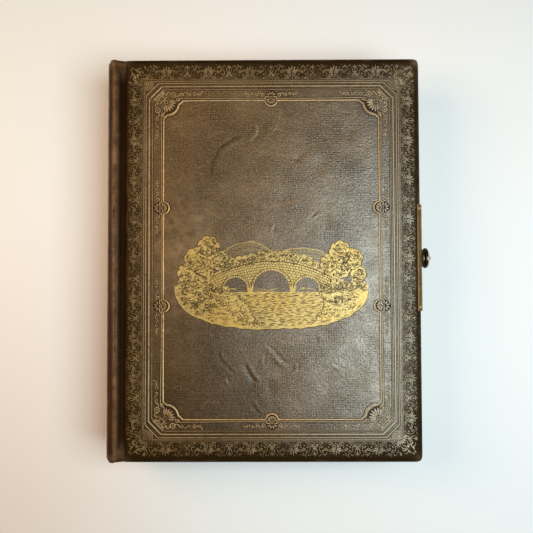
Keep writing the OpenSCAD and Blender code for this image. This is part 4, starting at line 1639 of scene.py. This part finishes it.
        # Dark patches under the fan and flower: partly pressed ground, partly painted shade between the
        # petals.
        s.under.patch((0, 0.2), arc(0, 0.2, 3.7, 170, 370, 14), s.pressed_shade, place)
        s.under.patch((0, 3.2), arc(0, 3.2, 4.2, -40, 220, 16), s.pressed_shade, place)
        s.top.petals((0, 1.0), 0.9, -168, -12, [3.0] * 6, 0.42, 0.34, place)
        s.top.petals((0, 3.0), 1.0, -8, 188, [3.0] * 6, 0.55, 0.34, place)
        s.ring(0, 2.0, 0.9, 7, place, 0.3, 0.34)
        for m in (-1, 1):
            def put(u: float, v: float, m: int = m) -> Point:
                """Mirror along the strip."""
                return place(m * u, v)
            s.scroll(arc(m * 3.6, 1.6, 1.3, 90 + m * 60, 90 - m * 200, 9, 0.5), place, 0.36)
            s.scroll(arc(5.9, 3.6, 1.5, 160, -160, 12, 0.5), put)
            s.scroll([(6.4, 4.6), (7.6, 5.6), (9.0, 5.2), (9.6, 4.0), (10.7, 3.6), (11.5, 4.5), (10.9, 5.4),
                      (10.0, 5.0)], put)
            s.scroll(arc(13.6, 4.7, 1.15, 200, -130, 10, 0.45), put)
            s.top.dab(15.2, 4.4, 0, 1.6, 0.55, 0.34, put)
            for k in range(3):
                u = 17.4 + 1.1 * k
                s.stroke([(u, 3.6 + 0.2 * k), (u, 5.8 - 0.2 * k)], 0.34, 0.3, put)
            s.stroke([(16.9, 4.7), (21.0, 4.7)], 0.26, 0.28, put, taper=0.6)

    def corner_boss(self, s: Strokes, put: Place) -> None:
        """Draw the stamped boss, arcs and leaves that fill one corner of the band.

        Args:
            s: Takes the strokes.
            put: Puts a point, given outwards from the rules' corner, in plan.
        """
        boss = self.boss_out - self.corner_out
        for r in (3.0, 4.1):
            s.stroke(arc(boss, boss, r, 150, 300, 10), 0.3, 0.3, place=put)
        s.stroke(arc(boss, boss, 1.5, 0, 330, 9), 0.3, 0.3, closed=True, place=put)
        s.dab(boss - 0.6, boss - 0.6, 45, 1.7, 0.6, 0.36, put)
        s.petals((boss, boss), 2.6, -12, 102, [3.4 - 0.3 * abs(3 - k) for k in range(7)], 0.55, 0.36, put)
        for swap in (False, True):
            def lay(u: float, v: float, swap: bool = swap) -> Point:
                """Mirror across the diagonal."""
                return put(v, u) if swap else put(u, v)
            s.stroke(arc(12.0, 7.2, 2.5, 200, -150, 14, 0.6), 0.34, 0.34, taper=0.4, place=lay)
            s.stroke(arc(8.6, 13.2, 2.3, 120, -190, 14, 0.6), 0.34, 0.34, taper=0.4, place=lay)
            s.stroke([(4.2, 9.4), (6.4, 11.6), (9.6, 12.2), (12.6, 14.6)], 0.32, 0.32, taper=0.5, place=lay)
            for u, v, a in self.boss_leaves:
                s.dab(u, v, a, 2.2, 0.5, 0.36, lay)

    def ornaments(self, s: Outlined, stamp: Strokes) -> None:
        """Put shells and bosses in the corners and roundels on the sides.

        Args:
            s: Takes the shells and roundels.
            stamp: Takes the bosses of the band.
        """
        x, hx, hy = self.board.field_x, self.board.field_hx, self.board.field_hy
        bx, by = hx + self.corner_out, hy + self.corner_out
        for mx in (-1, 1):
            for my in (-1, 1):
                self.corner_shell(s, lambda u, v, mx=mx, my=my: (x + mx * (-hx + u), my * (hy + v)))
                self.corner_boss(stamp, lambda u, v, mx=mx, my=my: (x + mx * (bx + u), my * (by + v)))
            self.roundel(s, lambda u, v, m=mx: (x + u, m * (hy + v)))
            for y in self.side_roundels:
                self.roundel(s, lambda u, v, m=mx, y=y: (x + m * (hx + v), y + u))

    def build(self, side: Side, palette: Palette, body: str) -> list[Piece]:
        """Make the tooling of one cover.

        Args:
            side: Which cover; only the front has gilt.
            palette: Finishes.
            body: Body that carries the cover.

        Returns:
            The pieces.
        """
        b = self.board
        dark, tan, gold, scrolls = (Strokes(b.top) for _ in range(4))
        stamp = Strokes(b.top, b.shade)
        pressed_shade = []
        for out, half in self.rules:
            tan.stroke(self.cut_frame(out), half, 0.2, closed=True)
            for off in (-half - self.rule_edge, half + self.rule_edge):
                pressed_shade.append((self.cut_frame(out + off), 0.24))
        tan.stroke(self.bowed_frame(self.weak_out), 0.22, 0.16, closed=True)
        pressed_shade.append((self.bowed_frame(self.weak_out - 0.5), 0.2))
        tan.stroke(self.field_line(1.9), 0.32, 0.18, closed=True)
        (gold if side is Side.FRONT else tan).stroke(self.field_line(0), 0.52, 0.2, closed=True)
        pressed_shade += [(self.field_line(off), 0.25) for off in (-0.78, 0.78, 2.4)]
        # Dark strips beside the rules: partly burnished tooling, partly painted shade of the pressed
        # grooves.
        for points, half in pressed_shade:
            dark.stroke(points, half, self.dark_lift, Strip.FLAT, True)
        self.ornaments(Outlined(scrolls, dark), stamp)
        made = []
        for strokes, name, finish, slot in (
                (dark, "burnished_lines", palette.burnished_shade, "leather"),
                (tan, "worn_rules", palette.rule, "gilt"),
                (gold, "gilt_line", palette.line, "gilt"),
                (scrolls, "shells_and_scrolls", palette.stamp, "leather"),
                (stamp, "band_corners", palette.tooled, "leather")):
            if strokes.verts:
                piece = strokes.piece(f"{side.value}_{name}", finish, b.both if side is Side.BACK else None)
                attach(piece, body)
                if name == "gilt_line":
                    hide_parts("front_gilt")
                made.append(piece)
        return made


@dataclass
class RiverPicture:
    """Gilt picture of a stone bridge between wooded banks, drawn in leaf and dark line.

    An arch has its middle, half width and the height of its legs, a tree its place, height and
    the radius of its crown. Places are measured from the picture's middle.
    """

    board: Board
    cx: float = 5.8
    cy: float = -13.4
    seed: int = 11
    leaf_lift: float = 0.06
    line_lift: float = 0.1
    shadow_lift: float = 0.03
    water: float = -12.0
    half_w: int = 69
    column: float = 0.8
    arches: tuple[Spot, ...] = ((0, 13, 4), (-25.5, 8.6, 3.4), (25.5, 8.6, 3.4))
    ring_stone: float = 1.6
    course: float = 1.9
    trees: tuple[Spot, ...] = (
        (-60, 3, 7), (-54, 13, 8), (-45, 21, 8), (-37, 12, 6.5), (-48, 4, 7), (41, 10, 6), (49, 18, 7.5),
        (58, 13, 7), (50, 6, 6.5), (62, 2, 5.5))
    marks: random.Random = field(init=False)
    pick: Surface = field(init=False)
    gold: Strokes = field(init=False)
    dark: Strokes = field(init=False)

    def __post_init__(self) -> None:
        """Fix the seed of the loose strokes and start with bare leather."""
        self.marks = random.Random(self.seed)
        self.pick = self.marks.uniform
        self.gold, self.dark = (Strokes(self.board.top, place=self.put) for _ in range(2))

    def put(self, x: float, y: float) -> Point:
        """Move a point of the picture to its place on the cover."""
        return (x + self.cx, y + self.cy)

    def leaf(self, points: Run, half: float, taper: float = 0.0) -> None:
        """Lay a strip of gold leaf."""
        self.gold.stroke(points, half, self.leaf_lift, Strip.FLAT, taper=taper)

    def cut(self, points: Run, half: float, taper: float = 0.0) -> None:
        """Draw a dark line on the leaf."""
        self.dark.stroke(points, half, self.line_lift, Strip.FLAT, taper=taper)

    def deck(self, x: float) -> float:
        """Height of the bridge's parapet."""
        return 13.0 - 0.0062 * x * x

    def opening(self, x: float) -> float:
        """Height of the arch above a place, or the water line where there is stone."""
        tops = [self.water + leg + math.sqrt(half * half - (x - mid) ** 2)
                for mid, half, leg in self.arches if abs(x - mid) < half]
        return max(tops, default=self.water)

    def bank(self, x: float) -> Point:
        """Tell where the foreground lies.

        Args:
            x: Place across.

        Returns:
            Its lower and upper line.
        """
        q = min(1.0, abs(x) / self.half_w)
        low = -9.0 - 27.5 * math.sqrt(max(0.0, 1 - q ** 2.6)) + 0.9 * ripple(x, 0, 5, 2.0)
        high = -10.5 + 5.0 * smooth(30, 60, abs(x)) + 1.2 * ripple(x, 0, 5, 5.0) * smooth(24, 40, abs(x))
        return low, max(low + 0.3, high)

    def river(self, y: float) -> Point:
        """Left and right edge of the water at a height."""
        t = (y + 10) / -26
        return -30 + 26 * t + 3 * math.sin(5 * t), 33 - 2 * t + 5 * math.sin(4 * t)

    def wet(self, x: float, y: float) -> bool:
        """True on the water."""
        left, right = self.river(y)
        return left < x < right

    def flick(self, lay: Callable[..., None], x: float, y: float, angle: float, length: float,
              half: float) -> None:
        """Make one short mark that bows a little.

        Args:
            lay: Lays the mark, as leaf or as a dark line.
            x: Start, across.
            y: Start, along.
            angle: Direction in degrees.
            length: Length of the mark.
            half: Half its width.
        """
        c, s = math.cos(math.radians(angle)), math.sin(math.radians(angle))
        bow = 0.12 * length * self.pick(-1, 1)
        middle = (x + c * length / 2 - s * bow, y + s * length / 2 + c * bow)
        lay([(x, y), middle, (x + c * length, y + s * length)], half, 0.7)

    def crown(self, x: float, y: float, r: float) -> None:
        """Draw one tree's foliage: scalloped leaf with dark curls, closer below and to the right.

        Args:
            x: Middle, across.
            y: Middle, along.
            r: Radius.
        """
        turn = self.pick(0, 6)
        rim = []
        for k in range(49):
            a = math.tau * k / 48
            q = r * (0.9 + 0.14 * abs(math.cos(4 * a + turn)))
            rim.append((x + q * math.cos(a), y + 1.06 * q * math.sin(a)))
        shadow = [(x + 1.07 * (u - x), y + 1.07 * (v - y)) for u, v in rim]
        self.dark.patch((x, y), shadow, self.shadow_lift)
        self.gold.patch((x, y), rim, self.leaf_lift)
        self.cut(rim[30:], 0.24)
        for _ in range(int(1.9 * r * r)):
            a, q = self.pick(0, math.tau), 0.9 * r * math.sqrt(self.marks.random())
            u, v = x + q * math.cos(a), y + q * math.sin(a)
            if 0.5 * (u - x) - 0.8 * (v - y) > r * self.pick(-1.4, 0.2):
                start, size = self.pick(-40, 60), self.pick(0.5, 1.05)
                curl = arc(u, v, size, start, start + self.pick(120, 230), 6)
                self.cut(curl, self.pick(0.16, 0.26), 0.4)

    def draw(self) -> None:
        """Lay the leaf first, then the dark lines on it."""
        for first, last in ((-55, -12), (-12, 12), (12, 55)):
            spans = [k * self.column for k in range(first, last + 1)]
            self.gold.columns([(x, self.opening(x), self.deck(x)) for x in spans], self.leaf_lift)
        ground = [(x, *self.bank(x)) for x in range(-self.half_w, self.half_w + 1)]
        self.gold.columns(ground, self.leaf_lift)
        self.gold.stroke([(x, low) for x, low, _ in ground], 0.28, 0.08, Strip.FLAT)
        self.dark.stroke([(x, low - 0.3) for x, low, _ in ground], 0.55, self.shadow_lift, Strip.FLAT)
        for k in range(15):
            x = -33 + 5 * k + self.pick(-1, 1)
            self.crown(x, self.deck(x) + self.pick(0.4, 3.2), self.pick(2.6, 4.2))
        walls = [(40.0 + 0.5 * k, -7.0, 1.5 + 4.5 * (1 - abs(k - 9) / 9)) for k in range(19)]
        self.gold.columns(walls, self.leaf_lift)
        for x, top, _ in self.trees:
            self.leaf([(x, -9), (x + 0.4, top * 0.4), (x, top)], 0.9, 0.2)
        for tree in sorted(self.trees, key=lambda tree: -tree[1]):
            self.crown(*tree)
        for x in [*range(-64, -30, 4), *range(36, 68, 4)]:
            self.crown(x, self.bank(x)[1] + self.pick(0.3, 1.8), self.pick(2.2, 3.4))
        for mid, half, _ in self.arches:
            for k in range(4):
                left = mid - half + self.pick(0.6, 3)
                level = self.water + 0.9 + 1.1 * k
                self.flick(self.leaf, left, level, 0, self.pick(0.9, 1.5) * half, 0.24)
        for base, tall, start, stop in ((12, 13, -42, 8), (11, 10, -6, 48)):
            self.hill(base, tall, start, stop)
        self.cut_courses()
        self.cut_arches()
        self.cut_cottage()
        self.cut_water()
        self.cut_plants()

    def hill(self, base: float, tall: float, start: float, stop: float) -> None:
        """Draw a distant hill: its crest and slanting hatch lines under it.

        Args:
            base: Height of its foot.
            tall: Height of its top over the foot.
            start: Left end.
            stop: Right end.
        """
        mid, half = (start + stop) / 2, (stop - start) / 2
        crest = []
        for k in range(41):
            x = start + (stop - start) * k / 40
            crest.append((x, base + tall * (1 - ((x - mid) / half) ** 2) + 0.9 * ripple(x, 1, 5, base)))
        self.leaf(crest, 0.26, 0.5)
        for x, y in crest[3:38]:
            floor = self.deck(x) + 0.8
            for reach in (0.0, 3.4):
                x0, y0 = x + 0.3 * reach, y - 0.7 - reach
                drop = min(2.4 + self.pick(-0.5, 0.9), y0 - floor)
                if drop > 0.6:
                    self.leaf([(x0, y0), (x0 + 0.6 * drop, y0 - drop)], 0.2, 0.5)

    def cut_courses(self) -> None:
        """Draw the courses of the bridge's stones and the joints between them."""
        for course in range(9):
            level = 1.6 + self.course * course
            run: list[Point] = []
            for k in range(-54, 56):
                x = k * self.column
                y = self.deck(x) - level
                if k < 55 and y > max(self.water + 0.6, self.opening(x) + self.ring_stone):
                    run.append((x, y))
                    continue
                if len(run) > 2:
                    self.cut(run, 0.3 if course == 0 else 0.17)
                run = []
            for k in range(-22, 23):
                x = k * 2.0 + (course % 2) + self.pick(-0.3, 0.3)
                y = self.deck(x) - level
                if y - self.course > max(self.water, self.opening(x) + self.ring_stone):
                    self.cut([(x, y), (x, y - self.course)], 0.16)

    def cut_arches(self) -> None:
        """Draw the ring of stones round each arch."""
        for mid, half, leg in self.arches:
            base, outer = self.water + leg, half + self.ring_stone
            self.cut(arc(mid, base, outer, 6, 174, 26), 0.22)
            for a in range(12, 170, 10):
                self.cut([polar(mid, base, half, a), polar(mid, base, outer, a)], 0.17)

    def cut_cottage(self) -> None:
        """Draw the cottage's eaves, windows and thatch."""
        self.cut([(39.6, 1.2), (44.5, 5.9), (49.4, 1.2)], 0.22)
        for x, y in ((42.2, -2.4), (46.6, -2.4), (44.4, 1.6)):
            self.cut([(x, y - 1), (x, y + 1)], 0.55)
        for k in range(8):
            self.flick(self.cut, 40.4 + 1.1 * k, 1.0 + 0.1 * k, 78, 1.6, 0.1)

    def cut_water(self) -> None:
        """Draw the ripples and the broken edges of the banks."""
        for k in range(27):
            y = -11.6 - 0.95 * k
            left, right = self.river(y)
            x = left + self.pick(0, 2)
            while x < right - 2:
                run = self.pick(2, 7)
                if y > self.bank(x)[0] + 0.8 and y > self.bank(x + run)[0] + 0.8:
                    self.flick(self.cut, x, y, self.pick(-4, 4), min(run, right - x), self.pick(0.18, 0.34))
                x += run + self.pick(0.8, 3)
        for edge in (0, 1):
            for k in range(60):
                y = -10.5 - 0.42 * k
                x = self.river(y)[edge] + self.pick(-0.8, 0.8)
                if y > self.bank(x)[0] + 1:
                    self.flick(self.cut, x, y, self.pick(30, 150), self.pick(0.8, 1.8), 0.26)

    def cut_plants(self) -> None:
        """Draw the bushes and grass of the foreground."""
        for _ in range(200):
            x = self.pick(-66, 66)
            low, high = self.bank(x)
            y = self.pick(low + 2, high - 0.5) if high - low > 3 else low
            if self.wet(x, y) or high - low <= 3:
                continue
            for _ in range(9):
                u, v = x + self.marks.gauss(0, 1.7), y + self.marks.gauss(0, 0.9)
                if not self.wet(u, v) and self.bank(u)[0] + 0.6 < v < self.bank(u)[1]:
                    self.flick(self.cut, u, v, self.pick(20, 160), self.pick(0.7, 1.8), 0.27)
        for _ in range(420):
            x = self.pick(-66, 60)
            low, high = self.bank(x)
            y = self.pick(low + 1, max(low + 1.2, high))
            if not self.wet(x, y) and not self.wet(x + 4, y) and low + 0.8 < y < high:
                self.flick(self.cut, x, y, self.pick(-14, 14), self.pick(2, 5), 0.2)

    def build(self, palette: Palette) -> list[Piece]:
        """Make the picture.

        Args:
            palette: Finishes.

        Returns:
            The leaf and the dark lines.
        """
        self.draw()
        leaf = self.gold.piece("front_picture_leaf", palette.gilt)
        lines = self.dark.piece("front_picture_lines", palette.cut)
        for piece in (leaf, lines):
            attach(piece, "front_cover")
        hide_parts("front_picture")
        return [leaf, lines]


@dataclass
class LeafBlock:
    """Ten leaves: cloth hinges and the gilt lines printed round the windows.

    A printed line has its distance from the window or the page's edge, and half its width.
    """

    count: int = 10
    x_hinge: float = -98.5
    cloth_tuck: float = 0.3
    cloth_held: float = 6.5
    cloth_half: float = 0.22
    cloth_bend: float = 7.0
    cloth_grid: tuple[int, int] = (22, 60)
    cabinet: Point = (100.0, 142.0)
    cabinet_y: float = 8.0
    carte: Point = (55.0, 88.0)
    carte_apart: Point = (42.0, 62.0)
    carte_y: float = 6.0
    window_lines: tuple[Point, ...] = ((2.2, 0.45), (4.2, 0.2))
    page_lines: tuple[Point, ...] = ((6.0, 0.35), (7.6, 0.16))
    ink: float = 0.05

    def arch(self, x: float, y: float, w: float, h: float, out: float) -> list[Point]:
        """Closed outline of an arched window, moved outwards.

        Args:
            x: Middle, across.
            y: Middle, along.
            w: Width.
            h: Height.
            out: Distance outside the window.

        Returns:
            The points in order.
        """
        r = w / 2 + out
        base, spring = y - h / 2 - out, y + h / 2 - w / 2
        sides = line((x + r, spring), (x + r, base), (x - r, base), (x - r, spring), step=20)
        return sides + arc(x, spring, r, 180, 0, 20)[1:-1]

    def windows(self, number: int, x: float) -> list[tuple[float, ...]]:
        """Find a leaf's windows: one for a cabinet card on odd leaves, four for cartes on even ones.

        Args:
            number: Leaf number from the top.
            x: Middle of the page.

        Returns:
            Middle and size of each window.
        """
        if number % 2:
            return [(x, self.cabinet_y, *self.cabinet)]
        dx, dy = self.carte_apart
        return [(x + a * dx, b * dy + self.carte_y, *self.carte) for a in (-1, 1) for b in (-1, 1)]

    def hinge(self, number: int, palette: Palette) -> Piece:
        """Cloth that carries one leaf, lying between the guards and the card.

        Args:
            number: Leaf number from the top.
            palette: Finishes.

        Returns:
            The cloth.
        """
        leaf = f"leaf_{number:02d}"
        low, high = box_mm(f"{leaf}_guard")
        z = (low[2] + high[2]) / 2
        nx, ny = self.cloth_grid
        xs = np.linspace(self.x_hinge - self.cloth_tuck, high[0] - self.cloth_held, nx)
        ys = np.linspace(low[1] + self.cloth_tuck, high[1] - self.cloth_tuck, ny)
        verts = []
        for layer in (self.cloth_half, -self.cloth_half):
            for y in ys:
                for x in xs:
                    u = x - self.x_hinge
                    pucker = 0.10 * ripple(x, y, 5, number) * smooth(0.5, 4, u) * (1 - smooth(9, 13, u))
                    verts.append((x, y, z + layer + pucker))
        size = nx * ny
        faces = grid_faces(nx, ny)
        faces += [tuple(size + i for i in face[::-1]) for face in faces]
        rim = grid_rim(nx, ny)
        faces += wall(rim, [size + i for i in rim])
        cloth = mesh_piece(f"{leaf}_cloth", verts, faces, palette.linen)
        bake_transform(cloth)
        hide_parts(f"{leaf}_guard")
        return cloth

    def print_lines(self, number: int, palette: Palette) -> Piece:
        """Gilt double lines round windows and page, on both faces of a leaf.

        Args:
            number: Leaf number from the top.
            palette: Finishes.

        Returns:
            The lines.
        """
        leaf = f"leaf_{number:02d}"
        (x0, y0, low), (x1, y1, high) = box_mm(f"{leaf}_mats")
        page = Strokes(lambda u, v: high)
        for window in self.windows(number, (x0 + x1) / 2):
            for out, half in self.window_lines:
                page.stroke(self.arch(*window, out), half, self.ink, Strip.FLAT, True)
        for d, half in self.page_lines:
            frame = line((x0 + d, y0 + d), (x1 - d, y0 + d), (x1 - d, y1 - d), (x0 + d, y1 - d),
                         (x0 + d, y0 + d), step=30)[:-1]
            page.stroke(frame, half, self.ink, Strip.FLAT, True)
        n = len(page.verts)
        page.verts += [(u, v, low + high - w) for u, v, w in page.verts]
        page.faces += [tuple(n + i for i in face[::-1]) for face in page.faces]
        page.wear *= 2
        page.tone *= 2
        lines = page.piece(f"{leaf}_lines", palette.gilt)
        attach(lines, leaf)
        return lines

    def build(self, palette: Palette) -> list[Piece]:
        """Make all hinges and lines."""
        return [make(number, palette) for number in range(1, self.count + 1)
                for make in (self.hinge, self.print_lines)]


@dataclass
class CatchJaws:
    """Catch spring of the clasp, its jaws as far apart as the pressed button spreads them."""

    half_gap: float = 2.62
    step: float = 12.0

    def build(self, palette: Palette) -> Piece:
        """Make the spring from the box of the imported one.

        Args:
            palette: Finishes.

        Returns:
            The spring, riding on the front cover.
        """
        low, high = box_mm("catch_spring")
        _, y, z = ((a + b) / 2 for a, b in zip(*box_mm("knob_skirt")))
        half, rise, foot = (high[1] - low[1]) / 2, high[2] - z, low[2] - z
        corner = math.degrees(math.atan2(rise, half))
        turns = [self.step * k for k in range(round(180 / self.step) + 1)] + [corner, 180 - corner]
        section = [((-self.half_gap, foot), (-half, foot))]
        for turn in sorted(turns, reverse=True):
            c, s = polar(0, 0, 1, turn)
            reach = min(half / max(abs(c), 1e-6), rise / max(s, 1e-6))
            section.append(((self.half_gap * c, self.half_gap * s), (reach * c, reach * s)))
        section.append(((self.half_gap, foot), (half, foot)))
        verts = []
        for inner, outer in section:
            for x, (u, v) in ((low[0], inner), (low[0], outer), (high[0], outer), (high[0], inner)):
                verts.append((x, y + u, z + v))
        last = len(verts) - 4
        faces: list[Face] = [(3, 2, 1, 0), (last, last + 1, last + 2, last + 3)]
        for k in range(0, last, 4):
            faces += wall(range(k + 4, k + 8), range(k, k + 4))
        spring = mesh_piece("catch_jaws", verts, faces, palette.steel, flat=True)
        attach(spring, "front_cover")
        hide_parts("catch_spring")
        return spring


def dress_nodes(nodes: dict[str, Piece], palette: Palette) -> None:
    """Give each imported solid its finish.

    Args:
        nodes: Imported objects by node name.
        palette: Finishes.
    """
    finishes = {"board": palette.mill, "pastedown": palette.paste, "liner": palette.mill,
                "guard_block": palette.guards, "clasp_plate": palette.brass, "clasp_rivets": palette.bright,
                "hinge_pin": palette.brass, "hasp": palette.shaded_hasp_brass, "knob_skirt": palette.black,
                "knob_cap": palette.bright, "spring": palette.steel, "_mats": palette.mat,
                "_core": palette.core, "_guard": palette.linen, "leather": palette.cover,
                "joint": palette.joint, "gilt": palette.gilt, "picture": palette.gilt}
    for name, node in nodes.items():
        finish = next(f for key, f in finishes.items() if key in name)
        node.data.materials.clear()
        node.data.materials.append(finish)
        LOG.info("node %s dressed as %s", name, finish.name)


@dataclass
class Studio:
    """Pale floor, soft window light from the right, warm light from the left, and the camera."""

    camera_at: Spot = (5.19, -18.37, 464.33)
    camera_turn: Spot = (1.787, 0.409, -0.166)
    view_angle: float = 50.0
    floor_half: float = 4000.0
    room_tint: Colour = (1.0, 0.9, 0.8)
    room_light: float = 0.10

    def lamp(self, name: str, at: Spot, aim: Spot, size: Point, watts: float, colour: Colour) -> None:
        """Add a soft rectangular lamp.

        Args:
            name: Name of the lamp.
            at: Its place in metres.
            aim: Where it points, in metres.
            size: Its two sides in metres.
            watts: Its power.
            colour: Its colour.
        """
        data = bpy.data.lights.new(name, "AREA")
        data.shape = "RECTANGLE"
        data.size, data.size_y = size
        data.energy = watts
        data.color = colour
        lamp = bpy.data.objects.new(name, data)
        lamp.location = at
        lamp.rotation_euler = (Vector(aim) - Vector(at)).to_track_quat("-Z", "Y").to_euler()
        bpy.context.scene.collection.objects.link(lamp)

    def build(self, palette: Palette) -> None:
        """Make floor, lamps, world and camera.

        Args:
            palette: Finishes.
        """
        scene = bpy.context.scene
        half = self.floor_half
        corners = [(-half, -half, 0), (half, -half, 0), (half, half, 0), (-half, half, 0)]
        mesh_piece("floor", corners, [(0, 1, 2, 3)], palette.floor, flat=True)
        self.lamp("window", (0.29, -0.07, 0.66), (0.05, -0.02, 0.03), (0.42, 0.45), 4.35,
                  (0.83, 0.965, 1.0))
        self.lamp("room", (-0.43, 0.13, 0.50), (-0.06, 0, 0.03), (0.35, 0.45), 2.15, (1.0, 0.63, 0.37))
        world = bpy.data.worlds.new("studio")
        world.use_nodes = True
        back = world.node_tree.nodes["Background"]
        back.inputs["Color"].default_value = (*self.room_tint, 1.0)
        back.inputs["Strength"].default_value = self.room_light
        scene.world = world
        lens = bpy.data.cameras.new("camera")
        lens.sensor_fit = "HORIZONTAL"
        lens.angle = math.radians(self.view_angle)
        lens.clip_start, lens.clip_end = 0.01, 50
        camera = bpy.data.objects.new("camera", lens)
        camera.location = Vector(self.camera_at) * MM
        camera.rotation_euler = tuple(math.radians(a) for a in self.camera_turn)
        scene.collection.objects.link(camera)
        scene.camera = camera
        scene.view_settings.view_transform = "Standard"


def main() -> None:
    """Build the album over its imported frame."""
    logging.basicConfig(level=logging.INFO, format="%(name)s: %(message)s")
    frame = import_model()
    palette = Palette()
    Studio().build(palette)
    dress_nodes(frame["nodes"], palette)
    board = Board.measured()
    back_relief = 0.45
    made: list[Piece] = []
    for side, body in ((Side.FRONT, "front_cover"), (Side.BACK, "album_base")):
        face = board if side is Side.FRONT else board.sunk(back_relief)
        made.append(CoverSkin(face, side).build(palette.cover, body))
        made.append(ScrollBand(face).build(side, palette.tooled, body))
        made += Tooling(face).build(side, palette, body)
    spine = SpineSkin(board)
    made.append(spine.build(palette.spine))
    made += [spine.joint(side, palette.joint) for side in Side]
    made += RiverPicture(board).build(palette)
    made += LeafBlock().build(palette)
    made.append(CatchJaws().build(palette))
    for piece in made:
        LOG.info("piece %s: %d faces", piece.name, len(piece.data.polygons))


if __name__ == "__main__":
    main()
